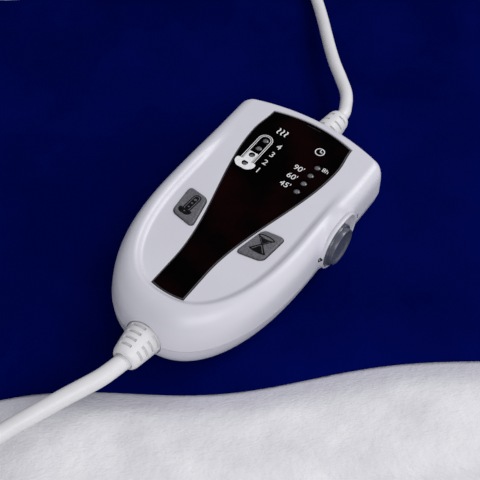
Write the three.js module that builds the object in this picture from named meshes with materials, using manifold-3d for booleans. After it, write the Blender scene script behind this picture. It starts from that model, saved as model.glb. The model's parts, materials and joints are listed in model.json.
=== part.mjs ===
// Heating pad with a hand controller: a white fleece pad with a padded navy cover, a lit controller
// with two press buttons and a slide power switch, the lead that joins them, and a mains lead that
// is wound into a tied coil. Millimetres, +Z up. The origin is the middle of the pad's underside,
// and the pad's front edge faces -Y.
import * as THREE from "three";
import { mergeVertices } from "three/addons/utils/BufferGeometryUtils.js";
import Module from "manifold-3d";

const wasm = await Module();
wasm.setup();

// Clearance between pieces that seat on each other, and round a piece that slides in its guide
const GAP = 0.3;
const RUNNING_GAP = 0.4;

// Fleece base of the pad
const PAD_WIDTH = 400;
const PAD_DEPTH = 320;
const PAD_CORNER = 32;
const FLEECE_THICK = 5;
const FLEECE_DIP = 3;

// Navy cover, sewn on the fleece a margin inside its edge
const COVER_MARGIN = 45;
const COVER_CORNER = 22;
const COVER_DIP = 5.5;
const COVER_LOBES = [2, 1];
const COVER_CLOTH = 1.7;
const COVER_HEM = 8;

// Heating layer between fleece and cover
const CARRIER_THICK = 1;
const CARRIER_CLEARANCE = 3;
const WIRE_DIAMETER = 2;
const WIRE_ROWS = 12;
const WIRE_EDGE_SPACE = 6.5;
const WIRE_FRONT_SPACE = 11;
const WIRE_BUS_SPACE = 6;
const CUTOUT_SIZE = [12, 6];
const CUTOUT_X = 60;
const SPLICE_SIZE = [16, 8];

// Place of the controller on the pad, its middle back from the pad's front edge
const CONTROLLER_X = 10;
const CONTROLLER_FROM_FRONT = 106;
const CONTROLLER_TURN = THREE.MathUtils.degToRad(-42.9);

// Controller housing: an oval tail, straight sides and a gently bowed head
const LENGTH = 120.5;
const HALF_WIDTH = 33.7;
const TAIL_LENGTH = 63;
const TAIL_POWER = 2.4;
const HEAD_RADIUS = 84;
const HEAD_CORNER = 6;
const SEAM_HEIGHT = 12.5;
const PANEL_HEIGHT = 25.5;
const RIM_RISE = 1.8;
const RIM_FULL_FROM_HEAD = 52.5;
const RIM_GONE_FROM_HEAD = 22.5;
const WALL = 2;
const PANEL_THICK = 2.8;
const FLOOR_THICK = 2.5;
const LIP_THICK = 0.9;
const LIP_RISE = 1.8;

// Upper housing sections: the share of the way from the seam to the panel, the share of the rim's rise,
// and the insets at the side, the tail and the head. The wall bulges up to the crest in one sweep.
const UPPER_ROWS = [
  [0, 0, 0, 0, 0],
  [0.4, 0.1, 0.25, 0.9, 0.15],
  [0.66, 0.3, 0.7, 2.5, 0.4],
  [0.82, 0.5, 1.6, 4.4, 0.8],
  [0.91, 0.7, 2.6, 6.2, 1.4],
  [0.965, 0.86, 3.7, 8, 2.1],
  [0.99, 0.96, 4.7, 9.6, 2.6],
  [1, 1, 5.6, 10.7, 3],
  [1, 0.8, 6.7, 11.7, 3.3],
  [1, 0.3, 7.8, 12.6, 3.6],
  [1, 0, 8.9, 13.4, 3.9],
];
// Lower housing sections: the share of the way from the resting face to the seam, and the same insets
const LOWER_ROWS = [
  [0, 7.5, 7.5, 5.5],
  [0.1, 4.6, 4.6, 3.0],
  [0.28, 2.5, 2.0, 1.3],
  [0.6, 1.0, 0.4, 0.4],
  [1, 0, 0, 0],
];

// Display window, a black inlay that flares towards the head
const WINDOW_HEAD_GAP = 5;
const WINDOW_TAIL_GAP = 14.8;
const WINDOW_NECK = 6.8;
const WINDOW_WIDE = 19.3;
const WINDOW_HEAD_HALF = 18;
const WINDOW_FLARE = [20, 92];
const WINDOW_HEAD_BOW = 3;
const WINDOW_TAIL_BOW = 0.8;
const WINDOW_THICK = 1.4;
const WINDOW_RECESS = 1.8;
const WINDOW_BELOW_PANEL = 0.1;

// Indicator lamps, two columns under the window
const LED_DIAMETER = 3;
const LED_FLANGE = 3.8;
const LED_COLUMN_X = 12;
const LED_FIRST_FROM_HEAD = 23.5;
const LED_PITCH = 5;
const LED_COUNT = 4;
const LED_LENGTH = 6.5;
const LED_HOLDER_WIDTH = 6;

// Press buttons beside the window, corners of the right-hand one in plan, from the head
const BUTTON_CORNERS = [
  [12.8, 62.7],
  [9.8, 77],
  [20, 75],
  [21.3, 61.5],
];
const BUTTON_ROUND = 1.8;
const BUTTON_PROUD = 0.9;
const BUTTON_EDGE = 0.5;
const BUTTON_FLANGE = 1.2;
const BUTTON_FLANGE_THICK = 1;
const BUTTON_TRAVEL = 1;
const BUTTON_STEM = 4;
const TACT_SIZE = 6;
const TACT_HEIGHT = 3.6;
const PLUNGER_DIAMETER = 3.4;
const PLUNGER_HEIGHT = 3.2;

// Slide power switch on the right wall
const SLIDER_FROM_HEAD = 45;
const SLIDER_HEIGHT = 16;
const SLIDER_DIAMETER = 17.5;
const SLIDER_TRAVEL = 4.2;
const SLIDER_PROUD = 3.6;
const SLIDER_SIDE_ROOM = 0.6;
const RECESS_DEPTH = 2;
const COLLAR_WALL = 0.9;
const COLLAR_RISE = 1.2;
const COLLAR_FLARE = 0.6;
const COLLAR_RAMP = 5;
// Collar sections: the share of the way from inside the wall to the lip, and the shares of the flare
// all round and of the ramp at both ends that are left there
const COLLAR_ROWS = [
  [0, 1, 1],
  [0.44, 0.75, 0.96],
  [0.75, 0.5, 0.9],
  [0.83, 0.37, 0.64],
  [0.9, 0.2, 0.36],
  [0.96, 0.08, 0.14],
  [1, 0, 0],
];
const SLIDER_BOSS = 5.7;
const NECK_SIZE = [3.4, 2.8];
const NECK_LENGTH = 6;
const PLATE_SIZE = [2.3, 10, 7];
const LEVER_SIZE = 3;
const SWITCH_SIZE = [7, 16, 7.4];
const SWITCH_FROM_PLATE = 2.7;

// Circuit board and what stands on it
const BOARD_BOTTOM = 10;
const BOARD_THICK = 1.6;
const BOARD_SIDE_ROOM = 8.7;
const BOARD_CORNER = 10;
const BOARD_FROM_TAIL = 22.2;
const BOARD_FROM_HEAD = 18.2;
const TERMINAL_SIZE = [15, 8, 8];
const TERMINAL_INSET = 1;
const TERMINAL_WAY = 3;
const FUSE_LENGTH = 20;
const FUSE_CAP = { diameter: 5.2, long: 5 };
const FUSE_GLASS = 4.6;
const CAPACITOR_SIZE = [8, 18, 9.5];
const TRIAC_SIZE = [10, 4.4, 7];
const TRIAC_TAB = [1.3, 10];
const TRIAC_X = 12;
const CHIP_SIZE = [8, 12, 2];
const CHIP_NOTCH = 2;
const STANDOFF_DIAMETER = 5;
const STANDOFF_INSET = 8;

// Case screws and their columns
const SCREW_DIAMETER = 3;
const SCREW_HEAD = 5.6;
const SCREW_HEAD_HEIGHT = 2.2;
const SCREW_RECESS = 1;
const SCREW_END = 19.5;
const SCREW_COLUMN = 8.6;
// Screw places: in from the side and back from the head, then out from the middle and on from the tail
const SCREW_HEAD_PLACE = [12.2, 13.2];
const SCREW_TAIL_PLACE = [14.5, 17];

// Strain reliefs on the seam: outer length, base and end diameters, neck in the wall, inner flange
const TAIL_RELIEF = { long: 13.2, base: 14.4, end: 10.2, neck: 10, flange: 14, depth: 1.8, slots: 4 };
const HEAD_RELIEF = { long: 17, base: 12.4, end: 8.8, neck: 8.6, flange: 12.4, depth: 0.5, slots: 4 };
const RELIEF_WALL = 3.6;
const RELIEF_FLANGE_THICK = 2;
const RELIEF_BOSS_WALL = 2.6;
const SLOT_WIDTH = 1.1;
const SLOT_DEPTH = 1.4;
const SLOT_RIDGE = 3.2;
const SLOT_SIDE = 4.4;
const TAIL_RELIEF_TURN = 25;
const RELIEF_SIDES = 18;

// Cords
const MAINS_DIAMETER = 6.4;
const MAINS_START = 0.9;
const PAD_LEAD_DIAMETER = 5.3;
const CORD_SIDES = 8;
const GRIP_SIZE = [19, 5, 3];
const GRIP_EYE = 2.4;
const GRIP_POST = 5;
const GRIP_SPAN = 14;
const GRIP_FROM_FLANGE = 5;

// Coil of the mains lead, in two layers on the floor, with its tie
const COIL_X = -150;
const COIL_FROM_FRONT = 66;
const COIL_INNER = 26.4;
const COIL_SPACE = 0.7;
const COIL_START = THREE.MathUtils.degToRad(131);
const COIL_TURNS = 6.47;
const COIL_STEPS = 24;
const COIL_SIDES = 6;
const TIE_ANGLE = THREE.MathUtils.degToRad(35);
const TIE_THICK = 0.8;
const TIE_WIDTH = 9;
const FLOOR_CLEARANCE = 0.1;

// Two-pin plug
const PLUG_LENGTH = 36;
const PLUG_WIDTH = 35;
const PLUG_TAIL = 13;
const PLUG_THICK = 13.8;
const PIN_DIAMETER = 4;
const PIN_LENGTH = 19;
const PIN_SPACING = 18.6;
const PIN_SOCKET = 6;
const PLUG_LEAD = 58;

// Gland of the pad lead in the pad's rear edge
const GLAND_X = -70;
const GLAND_TONGUE_WIDTH = 12;
const GLAND_BASE = 11;
const GLAND_END = 8;
const GLAND_LENGTH = 28;

// Heights that follow from the sizes above
const carrierBottom = FLEECE_THICK + GAP;
const wireBottom = carrierBottom + CARRIER_THICK + GAP;
const coverRoof = wireBottom + WIRE_DIAMETER + GAP;
const coverTop = coverRoof + COVER_CLOTH;
const controllerBottom = coverTop + GAP;
const headEnd = LENGTH / 2;
const tailEnd = -LENGTH / 2;
const panelUnderside = PANEL_HEIGHT - PANEL_THICK;
const boardTop = BOARD_BOTTOM + BOARD_THICK;
const onBoard = boardTop + GAP;
const boardHalf = HALF_WIDTH - BOARD_SIDE_ROOM;
const boardTail = tailEnd + BOARD_FROM_TAIL;
const boardHead = headEnd - BOARD_FROM_HEAD;
const coilY = -PAD_DEPTH / 2 - COIL_FROM_FRONT;
const coilPitch = MAINS_DIAMETER + COIL_SPACE;
const coilOuter = COIL_INNER + (coilPitch * COIL_TURNS) / 2;
const coilLow = FLOOR_CLEARANCE + TIE_THICK + GAP + MAINS_DIAMETER / 2;

const finish = (color, roughness, metalness = 0) =>
  new THREE.MeshStandardMaterial({ color, roughness, metalness });
const MATERIALS = {
  housing: finish(0xd9d8e2, 0.32),
  window: finish(0x0b0708, 0.12),
  button: finish(0x6c6d74, 0.55),
  slider: finish(0x77797f, 0.5),
  cord: finish(0xe9e8e6, 0.5),
  led: finish(0x9a9c9c, 0.25),
  board: finish(0x2f5d3a, 0.6),
  dark: finish(0x242427, 0.6),
  pale: finish(0xcfc8b4, 0.6),
  metal: finish(0xb9bcc0, 0.35, 1),
  fleece: finish(0xe6e4e8, 0.95),
  cover: finish(0x0a0d3c, 0.95),
  carrier: finish(0xd8d2c4, 0.95),
  wire: finish(0xc65a4a, 0.6),
};

// A geometry as a solid, its shared points merged and its flat slivers dropped
function toSolid(geometry) {
  const bare = new THREE.BufferGeometry();
  bare.setAttribute("position", geometry.getAttribute("position"));
  bare.setIndex(geometry.getIndex());
  const merged = mergeVertices(bare, 1e-4);
  const corners = merged.getIndex().array;
  const kept = [];
  for (let i = 0; i < corners.length; i += 3) {
    const [a, b, c] = corners.slice(i, i + 3);
    if (a !== b && b !== c && c !== a) kept.push(a, b, c);
  }
  return new wasm.Manifold(
    new wasm.Mesh({
      numProp: 3,
      vertProperties: merged.getAttribute("position").array,
      triVerts: new Uint32Array(kept),
    }),
  );
}

function toGeometry(solid) {
  const mesh = solid.getMesh();
  const geometry = new THREE.BufferGeometry();
  geometry.setAttribute("position", new THREE.BufferAttribute(mesh.vertProperties, 3));
  geometry.setIndex(new THREE.BufferAttribute(mesh.triVerts, 1));
  geometry.computeVertexNormals();
  return geometry;
}

// The first geometry with the tools cut away, and the first joined with the others
function carve(geometry, tools) {
  return toGeometry(tools.reduce((left, tool) => left.subtract(toSolid(tool)), toSolid(geometry)));
}
function fuse(geometry, others) {
  return toGeometry(others.reduce((sum, other) => sum.add(toSolid(other)), toSolid(geometry)));
}
function overlapOf(geometry, other) {
  return toGeometry(toSolid(geometry).intersect(toSolid(other)));
}

function box(x, y, z) {
  const block = new THREE.BoxGeometry(x[1] - x[0], y[1] - y[0], z[1] - z[0]);
  return block.translate((x[0] + x[1]) / 2, (y[0] + y[1]) / 2, (z[0] + z[1]) / 2);
}

// Round bars standing along Z and lying along Y
function column(x, y, diameter, low, high, sides = 16) {
  const bar = new THREE.CylinderGeometry(diameter / 2, diameter / 2, high - low, sides);
  return bar.rotateX(Math.PI / 2).translate(x, y, (low + high) / 2);
}
function rod(x, z, diameter, front, back, sides = 20) {
  const bar = new THREE.CylinderGeometry(diameter / 2, diameter / 2, back - front, sides);
  return bar.translate(x, (front + back) / 2, z);
}

// A turned piece along Y from a profile of radius and place along the axis
function turned(profile, sides) {
  return new THREE.LatheGeometry(profile.map(([r, along]) => new THREE.Vector2(r, along)), sides);
}

// A flat outline pushed up from one height to another
function prism(shape, low, high, curveSegments = 4) {
  const options = { depth: high - low, bevelEnabled: false, curveSegments };
  return new THREE.ExtrudeGeometry(shape, options).translate(0, 0, low);
}

// Closed outline through corners in counter-clockwise order, each rounded off
function roundedShape(corners, radius) {
  const shape = new THREE.Shape();
  corners.forEach(([x, y], i) => {
    const here = new THREE.Vector2(x, y);
    const before = new THREE.Vector2(...corners.at(i - 1));
    const after = new THREE.Vector2(...corners[(i + 1) % corners.length]);
    const enter = before.sub(here).setLength(radius).add(here);
    const leave = after.sub(here).setLength(radius).add(here);
    if (i === 0) shape.moveTo(enter.x, enter.y);
    else shape.lineTo(enter.x, enter.y);
    shape.quadraticCurveTo(x, y, leave.x, leave.y);
  });
  return shape;
}
function roundedRectangle(halfX, halfY, radius) {
  const corners = [
    [-halfX, -halfY],
    [halfX, -halfY],
    [halfX, halfY],
    [-halfX, halfY],
  ];
  return roundedShape(corners, radius);
}

const meanOf = (values) => values.reduce((sum, value) => sum + value, 0) / values.length;
const middleOf = (corners) => [meanOf(corners.map(([x]) => x)), meanOf(corners.map(([, y]) => y))];

// Corners moved out from their middle, for the well round a button and the flange under it
function spread(corners, by) {
  const [midX, midY] = middleOf(corners);
  return corners.map(([x, y]) => [x + by * Math.sign(x - midX), y + by * Math.sign(y - midY)]);
}

// A skin through rings of equal count, counter-clockwise from above and listed from low to high
function loft(rings) {
  const count = rings[0].length;
  const points = rings.flat();
  const faces = [];
  for (let level = 0; level + 1 < rings.length; level++) {
    for (let i = 0; i < count; i++) {
      const a = level * count + i;
      const b = level * count + ((i + 1) % count);
      faces.push(a, b, b + count, a, b + count, a + count);
    }
  }
  const inPlan = (ring) => ring.map(({ x, y }) => new THREE.Vector2(x, y));
  const cap = (ring) => THREE.ShapeUtils.triangulateShape(inPlan(ring), []);
  const last = (rings.length - 1) * count;
  cap(rings[0]).forEach(([a, b, c]) => faces.push(a, c, b));
  cap(rings.at(-1)).forEach(([a, b, c]) => faces.push(last + a, last + b, last + c));
  const geometry = new THREE.BufferGeometry().setFromPoints(points);
  geometry.setIndex(faces);
  geometry.computeVertexNormals();
  return geometry;
}

// A round tube through every point of a path that stays near level, closed at both ends
function sweep(path, diameter, sides) {
  const points = [];
  const faces = [];
  const up = new THREE.Vector3(0, 0, 1);
  path.forEach((here, i) => {
    const before = path[Math.max(i - 1, 0)];
    const after = path[Math.min(i + 1, path.length - 1)];
    const along = after.clone().sub(before).normalize();
    const side = new THREE.Vector3().crossVectors(along, up).normalize();
    const rise = new THREE.Vector3().crossVectors(side, along);
    for (let k = 0; k < sides; k++) {
      const turn = (2 * Math.PI * (k + 0.5)) / sides;
      const point = here.clone().addScaledVector(side, (Math.cos(turn) * diameter) / 2);
      points.push(point.addScaledVector(rise, (Math.sin(turn) * diameter) / 2));
    }
  });
  for (let i = 0; i + 1 < path.length; i++) {
    for (let k = 0; k < sides; k++) {
      const a = i * sides + k;
      const b = i * sides + ((k + 1) % sides);
      faces.push(a, a + sides, b, b, a + sides, b + sides);
    }
  }
  const last = (path.length - 1) * sides;
  for (let k = 1; k + 1 < sides; k++) {
    faces.push(0, k, k + 1, last, last + k + 1, last + k);
  }
  const geometry = new THREE.BufferGeometry().setFromPoints(points);
  geometry.setIndex(faces);
  geometry.computeVertexNormals();
  return geometry;
}

// A cord along a smooth curve through hand-picked points
function cordTube(points, diameter, steps) {
  const ring = Array.from({ length: CORD_SIDES }, (_, k) => {
    const turn = (2 * Math.PI * k) / CORD_SIDES;
    return new THREE.Vector2((Math.cos(turn) * diameter) / 2, (Math.sin(turn) * diameter) / 2);
  });
  const extrudePath = new THREE.CatmullRomCurve3(points, false, "centripetal");
  return new THREE.ExtrudeGeometry(new THREE.Shape(ring), { steps, bevelEnabled: false, extrudePath });
}

function addPiece(parent, name, geometry, material) {
  const mesh = new THREE.Mesh(geometry, MATERIALS[material]);
  mesh.name = name;
  parent.add(mesh);
  return mesh;
}

const product = new THREE.Group();
const pad = new THREE.Group();
const controller = new THREE.Group();
const leads = new THREE.Group();
product.add(pad, controller, leads);
controller.position.set(CONTROLLER_X, CONTROLLER_FROM_FRONT - PAD_DEPTH / 2, controllerBottom);
controller.rotation.z = CONTROLLER_TURN;
controller.updateMatrixWorld(true);

// Soft rectangle whose sides dip in between the corners, in one or more lobes along each side
function softRing(halfX, halfY, corner, inset, dip, lobes, height) {
  const ring = [];
  const sideSteps = 16;
  const cornerSteps = 5;
  const radius = Math.max(corner - inset, 2);
  const sides = [
    { from: [-1, -1], run: [1, 0], lobes: lobes[0] },
    { from: [1, -1], run: [0, 1], lobes: lobes[1] },
    { from: [1, 1], run: [-1, 0], lobes: lobes[0] },
    { from: [-1, 1], run: [0, -1], lobes: lobes[1] },
  ];
  sides.forEach(({ from, run, lobes: waves }, side) => {
    const centreX = from[0] * (halfX - inset - radius);
    const centreY = from[1] * (halfY - inset - radius);
    for (let i = 0; i < cornerSteps; i++) {
      const turn = Math.PI + (Math.PI / 2) * (side + i / cornerSteps);
      ring.push([centreX + radius * Math.cos(turn), centreY + radius * Math.sin(turn)]);
    }
    const span = 2 * (run[0] === 0 ? Math.abs(centreY) : Math.abs(centreX));
    for (let i = 0; i < sideSteps; i++) {
      const share = i / sideSteps;
      const draw = (dip / 2) * (1 - Math.cos(2 * Math.PI * waves * share));
      const out = radius - draw;
      ring.push([
        centreX + run[0] * span * share + run[1] * out,
        centreY + run[1] * span * share - run[0] * out,
      ]);
    }
  });
  return ring.map(([x, y]) => new THREE.Vector3(x, y, height));
}

// Fleece base with rounded edges and a flat underside
function buildFleece() {
  const rows = [
    [6, 0],
    [1.6, 0.9],
    [0, 2.5],
    [1.6, 4.2],
    [5, FLEECE_THICK],
  ];
  const rings = rows.map(([inset, height]) =>
    softRing(PAD_WIDTH / 2, PAD_DEPTH / 2, PAD_CORNER, inset, FLEECE_DIP, [1, 1], height),
  );
  addPiece(pad, "fleece_base", loft(rings), "fleece");
}

const coverHalfX = PAD_WIDTH / 2 - COVER_MARGIN;
const coverHalfY = PAD_DEPTH / 2 - COVER_MARGIN;
const coverRing = (inset, height) =>
  softRing(coverHalfX, coverHalfY, COVER_CORNER, inset, COVER_DIP, COVER_LOBES, height);
// How far back the cover's dipping rear edge reaches over the width of the gland
const coverRearSpan = 2 * (coverHalfX - COVER_CORNER);
function coverRearAt(x) {
  const share = (coverRearSpan / 2 - x) / coverRearSpan;
  return coverHalfY - (COVER_DIP / 2) * (1 - Math.cos(2 * Math.PI * COVER_LOBES[0] * share));
}
const coverRear = Math.max(...[-0.5, 0.5].map((end) => coverRearAt(GLAND_X + end * GLAND_BASE)));
const pocketRear = coverRear - COVER_HEM;

// Padded cover: a low crown with a rolled edge, hollow underneath for the heating layer
function buildCover() {
  const low = FLEECE_THICK + GAP;
  const rise = coverTop - low;
  const rows = [
    [0.8, 0],
    [0, 0.22],
    [0.5, 0.5],
    [2.4, 0.74],
    [7, 0.92],
    [14, 1],
  ];
  const crown = loft(rows.map(([inset, share]) => coverRing(inset, low + rise * share)));
  const pocket = loft([coverRing(COVER_HEM, low - 1), coverRing(COVER_HEM, coverRoof)]);
  const halfNotch = GLAND_TONGUE_WIDTH / 2 + RUNNING_GAP;
  const notchX = [GLAND_X - halfNotch, GLAND_X + halfNotch];
  const notch = box(notchX, [pocketRear - 2, coverRear + 4], [low - 1, coverRoof]);
  addPiece(pad, "pad_cover", carve(crown, [pocket, notch]), "cover");
}

// Heating layer: felt carrier, one looped wire with a thermal cut-out in its return, and the splice
function buildHeatingLayer() {
  const halfX = coverHalfX - COVER_HEM - COVER_DIP - CARRIER_CLEARANCE;
  const halfY = coverHalfY - COVER_HEM - COVER_DIP - CARRIER_CLEARANCE;
  const feltShape = roundedRectangle(halfX, halfY, COVER_CORNER);
  const felt = prism(feltShape, carrierBottom, carrierBottom + CARRIER_THICK);
  addPiece(pad, "heating_carrier", felt, "carrier");

  const level = wireBottom + WIRE_DIAMETER / 2;
  const firstX = WIRE_EDGE_SPACE - halfX;
  const pitch = (-2 * firstX) / (WIRE_ROWS - 1);
  const turnRadius = pitch / 2;
  const busY = halfY - WIRE_BUS_SPACE;
  const rearY = busY - WIRE_BUS_SPACE - turnRadius;
  const frontY = -(halfY - WIRE_FRONT_SPACE - turnRadius);
  const spliceEdge = SPLICE_SIZE[0] / 2 + GAP;
  const path = [];
  const place = (x, y) => path.push(new THREE.Vector3(x, y, level));
  const bend = (x, y, from, to) => {
    for (let i = 0; i <= 4; i++) {
      const turn = from + ((to - from) * i) / 4;
      place(x + turnRadius * Math.cos(turn), y + turnRadius * Math.sin(turn));
    }
  };
  place(GLAND_X - spliceEdge, busY);
  bend(firstX + turnRadius, busY - turnRadius, Math.PI / 2, Math.PI);
  for (let row = 0; row < WIRE_ROWS - 1; row++) {
    const middle = firstX + (row + 0.5) * pitch;
    if (row % 2 === 0) bend(middle, frontY, Math.PI, 2 * Math.PI);
    else bend(middle, rearY, Math.PI, 0);
  }
  bend(-firstX - turnRadius, busY - turnRadius, 0, Math.PI / 2);
  place(CUTOUT_X + CUTOUT_SIZE[0] / 2 + GAP, busY);
  addPiece(pad, "heating_wire", sweep(path, WIRE_DIAMETER, COIL_SIDES), "wire");

  const link = [
    new THREE.Vector3(CUTOUT_X - CUTOUT_SIZE[0] / 2 - GAP, busY, level),
    new THREE.Vector3(GLAND_X + spliceEdge, busY, level),
  ];
  addPiece(pad, "link_wire", sweep(link, WIRE_DIAMETER, COIL_SIDES), "wire");

  const block = ([long, deep], x) => {
    const shape = roundedRectangle(long / 2, deep / 2, 1);
    return prism(shape, wireBottom, wireBottom + WIRE_DIAMETER).translate(x, busY, 0);
  };
  addPiece(pad, "thermal_cutout", block(CUTOUT_SIZE, CUTOUT_X), "metal");
  addPiece(pad, "wire_splice", block(SPLICE_SIZE, GLAND_X), "pale");
  return busY + SPLICE_SIZE[1] / 2 + GAP;
}

// Gland: a flat tongue sewn into the cover's hem and a tapered sleeve lying on the fleece margin
const glandHeight = FLEECE_THICK + GAP + GLAND_BASE / 2;
const glandBase = coverRear + 2 * GAP;
function buildGland(tongueFront) {
  const halfTongue = GLAND_TONGUE_WIDTH / 2;
  const tongue = box(
    [GLAND_X - halfTongue, GLAND_X + halfTongue],
    [tongueFront, glandBase + 4],
    [wireBottom, wireBottom + WIRE_DIAMETER],
  );
  const sleeve = turned(
    [
      [0, glandBase],
      [GLAND_BASE / 2 - 1, glandBase],
      [GLAND_BASE / 2, glandBase + 1],
      [GLAND_BASE / 2, glandBase + 5],
      [GLAND_END / 2 + 0.3, glandBase + GLAND_LENGTH - 1],
      [GLAND_END / 2 - 0.6, glandBase + GLAND_LENGTH],
      [0, glandBase + GLAND_LENGTH],
    ],
    16,
  ).translate(GLAND_X, 0, glandHeight);
  addPiece(pad, "pad_gland", fuse(sleeve, [tongue]), "cord");
}

// Points round the housing's tail, side, head corner and head: fine outside, coarse inside
const OUTSIDE_STEPS = [12, 6, 3, 4];
const INSIDE_STEPS = [7, 3, 2, 2];

// Plan ring of the housing at given insets, from the tail's tip round the right side and back
function housingRing(sideInset, tailInset, headInset, heightAt, steps = OUTSIDE_STEPS) {
  const half = HALF_WIDTH - sideInset;
  const tailTop = tailEnd + TAIL_LENGTH;
  const tailReach = TAIL_LENGTH - tailInset;
  const corner = Math.max(HEAD_CORNER - (sideInset + headInset) / 2, 1);
  const arcCentre = headEnd - headInset - HEAD_RADIUS;
  const cornerX = half - corner;
  const cornerY = arcCentre + Math.sqrt((HEAD_RADIUS - corner) ** 2 - cornerX ** 2);
  const cornerTurn = Math.atan2(cornerY - arcCentre, cornerX);
  const [tailSteps, sideSteps, cornerSteps, headSteps] = steps;
  const right = [];
  for (let i = 0; i <= tailSteps; i++) {
    const turn = (Math.PI / 2) * (i / tailSteps);
    const out = Math.sin(turn) ** (2 / TAIL_POWER);
    const back = i === tailSteps ? 0 : Math.cos(turn) ** (2 / TAIL_POWER);
    right.push([half * out, tailTop - tailReach * back]);
  }
  for (let i = 1; i < sideSteps; i++) {
    right.push([half, tailTop + ((cornerY - tailTop) * i) / sideSteps]);
  }
  for (let i = 0; i < cornerSteps; i++) {
    const turn = (cornerTurn * i) / cornerSteps;
    right.push([cornerX + corner * Math.cos(turn), cornerY + corner * Math.sin(turn)]);
  }
  for (let i = 0; i <= headSteps; i++) {
    const turn = cornerTurn + ((Math.PI / 2 - cornerTurn) * i) / headSteps;
    right.push([HEAD_RADIUS * Math.cos(turn), arcCentre + HEAD_RADIUS * Math.sin(turn)]);
  }
  const left = right.slice(1, -1).reverse().map(([x, y]) => [-x, y]);
  return [...right, ...left].map(([x, y]) => new THREE.Vector3(x, y, heightAt(y)));
}

// The rim is full round the tail and fades into the panel towards the head.
function rimShare(y) {
  const gone = headEnd - RIM_GONE_FROM_HEAD;
  const full = headEnd - RIM_FULL_FROM_HEAD;
  return 1 - THREE.MathUtils.smoothstep(y, full, gone);
}
function upperHeight(wall, rim, y) {
  const low = SEAM_HEIGHT + GAP / 2;
  return low + (PANEL_HEIGHT - low) * wall + RIM_RISE * rim * rimShare(y);
}

// Inner space of a shell from rows of a height and the insets there
function hollowLoft(rows) {
  const ring = ([z, side, tail, head]) => housingRing(side, tail, head, () => z, INSIDE_STEPS);
  return loft(rows.map(ring));
}

const screwPlaces = [
  [HALF_WIDTH - SCREW_HEAD_PLACE[0], headEnd - SCREW_HEAD_PLACE[1]],
  [SCREW_HEAD_PLACE[0] - HALF_WIDTH, headEnd - SCREW_HEAD_PLACE[1]],
  [SCREW_TAIL_PLACE[0], tailEnd + SCREW_TAIL_PLACE[1]],
  [-SCREW_TAIL_PLACE[0], tailEnd + SCREW_TAIL_PLACE[1]],
];
const tailBase = tailEnd + TAIL_RELIEF.depth;
const headBase = headEnd - HEAD_RELIEF.depth;
const tailFlange = tailBase + RELIEF_WALL + GAP;
const headFlange = headBase - RELIEF_WALL - GAP;
const sliderY = headEnd - SLIDER_FROM_HEAD;
const slotMiddle = sliderY + SLIDER_TRAVEL / 2;
const recessFloor = HALF_WIDTH - RECESS_DEPTH;
const bossInner = HALF_WIDTH - SLIDER_BOSS;
const recessRadius = SLIDER_DIAMETER / 2 + SLIDER_SIDE_ROOM;
const collarRadius = recessRadius + COLLAR_WALL;

// Long hole along Y with round ends, as a solid along X: rows of a place along X, a radius and how much
// longer it is than the slider's travel at each end
function longHole(rows) {
  const steps = 9;
  const ring = ([height, radius, longer]) => {
    const points = [];
    for (const end of [1, -1]) {
      for (let i = 0; i <= steps; i++) {
        const turn = (Math.PI * i) / steps + (end > 0 ? 0 : Math.PI);
        const y = end * (SLIDER_TRAVEL / 2 + longer) + radius * Math.sin(turn);
        points.push(new THREE.Vector3(radius * Math.cos(turn), y, height));
      }
    }
    return points;
  };
  const along = loft(rows.map(ring));
  return along.rotateY(Math.PI / 2).translate(0, slotMiddle, SLIDER_HEIGHT);
}

// Space that stays solid inside the housing: round the reliefs, behind the slider and at the screws
function innerBosses(low, high) {
  const bosses = [
    rod(0, SEAM_HEIGHT, TAIL_RELIEF.base + 2 * RELIEF_BOSS_WALL, tailEnd - 5, tailBase + RELIEF_WALL),
    rod(0, SEAM_HEIGHT, HEAD_RELIEF.base + 2 * RELIEF_BOSS_WALL, headBase - RELIEF_WALL, headEnd + 5),
  ];
  const reach = collarRadius + SLIDER_TRAVEL / 2;
  bosses.push(box([bossInner, HALF_WIDTH + 5], [slotMiddle - reach, slotMiddle + reach], [low, high]));
  screwPlaces.forEach(([x, y]) => bosses.push(column(x, y, SCREW_COLUMN, low, high)));
  return bosses;
}

// Cuts that both shells share: the reliefs' seats and necks, and the slider's recess
function sharedCuts() {
  return [
    rod(0, SEAM_HEIGHT, TAIL_RELIEF.base + 2 * GAP, tailEnd - 9, tailBase + GAP),
    rod(0, SEAM_HEIGHT, TAIL_RELIEF.neck + 2 * GAP, tailEnd - 9, tailFlange + 1),
    rod(0, SEAM_HEIGHT, HEAD_RELIEF.base + 2 * GAP, headBase - GAP, headEnd + 9),
    rod(0, SEAM_HEIGHT, HEAD_RELIEF.neck + 2 * GAP, headFlange - 1, headEnd + 9),
    longHole([
      [recessFloor, recessRadius, 0],
      [HALF_WIDTH + 9, recessRadius, 0],
    ]),
  ];
}

const aboveSeam = box([-99, 99], [-99, 99], [SEAM_HEIGHT + GAP / 2, 99]);
const belowSeam = box([-99, 99], [-99, 99], [-99, SEAM_HEIGHT - GAP / 2]);
const collar = () =>
  longHole(
    COLLAR_ROWS.map(([way, flare, ramp]) => [
      THREE.MathUtils.lerp(bossInner, HALF_WIDTH + COLLAR_RISE, way),
      collarRadius + COLLAR_FLARE * flare,
      COLLAR_RAMP * ramp,
    ]),
  );

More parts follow.
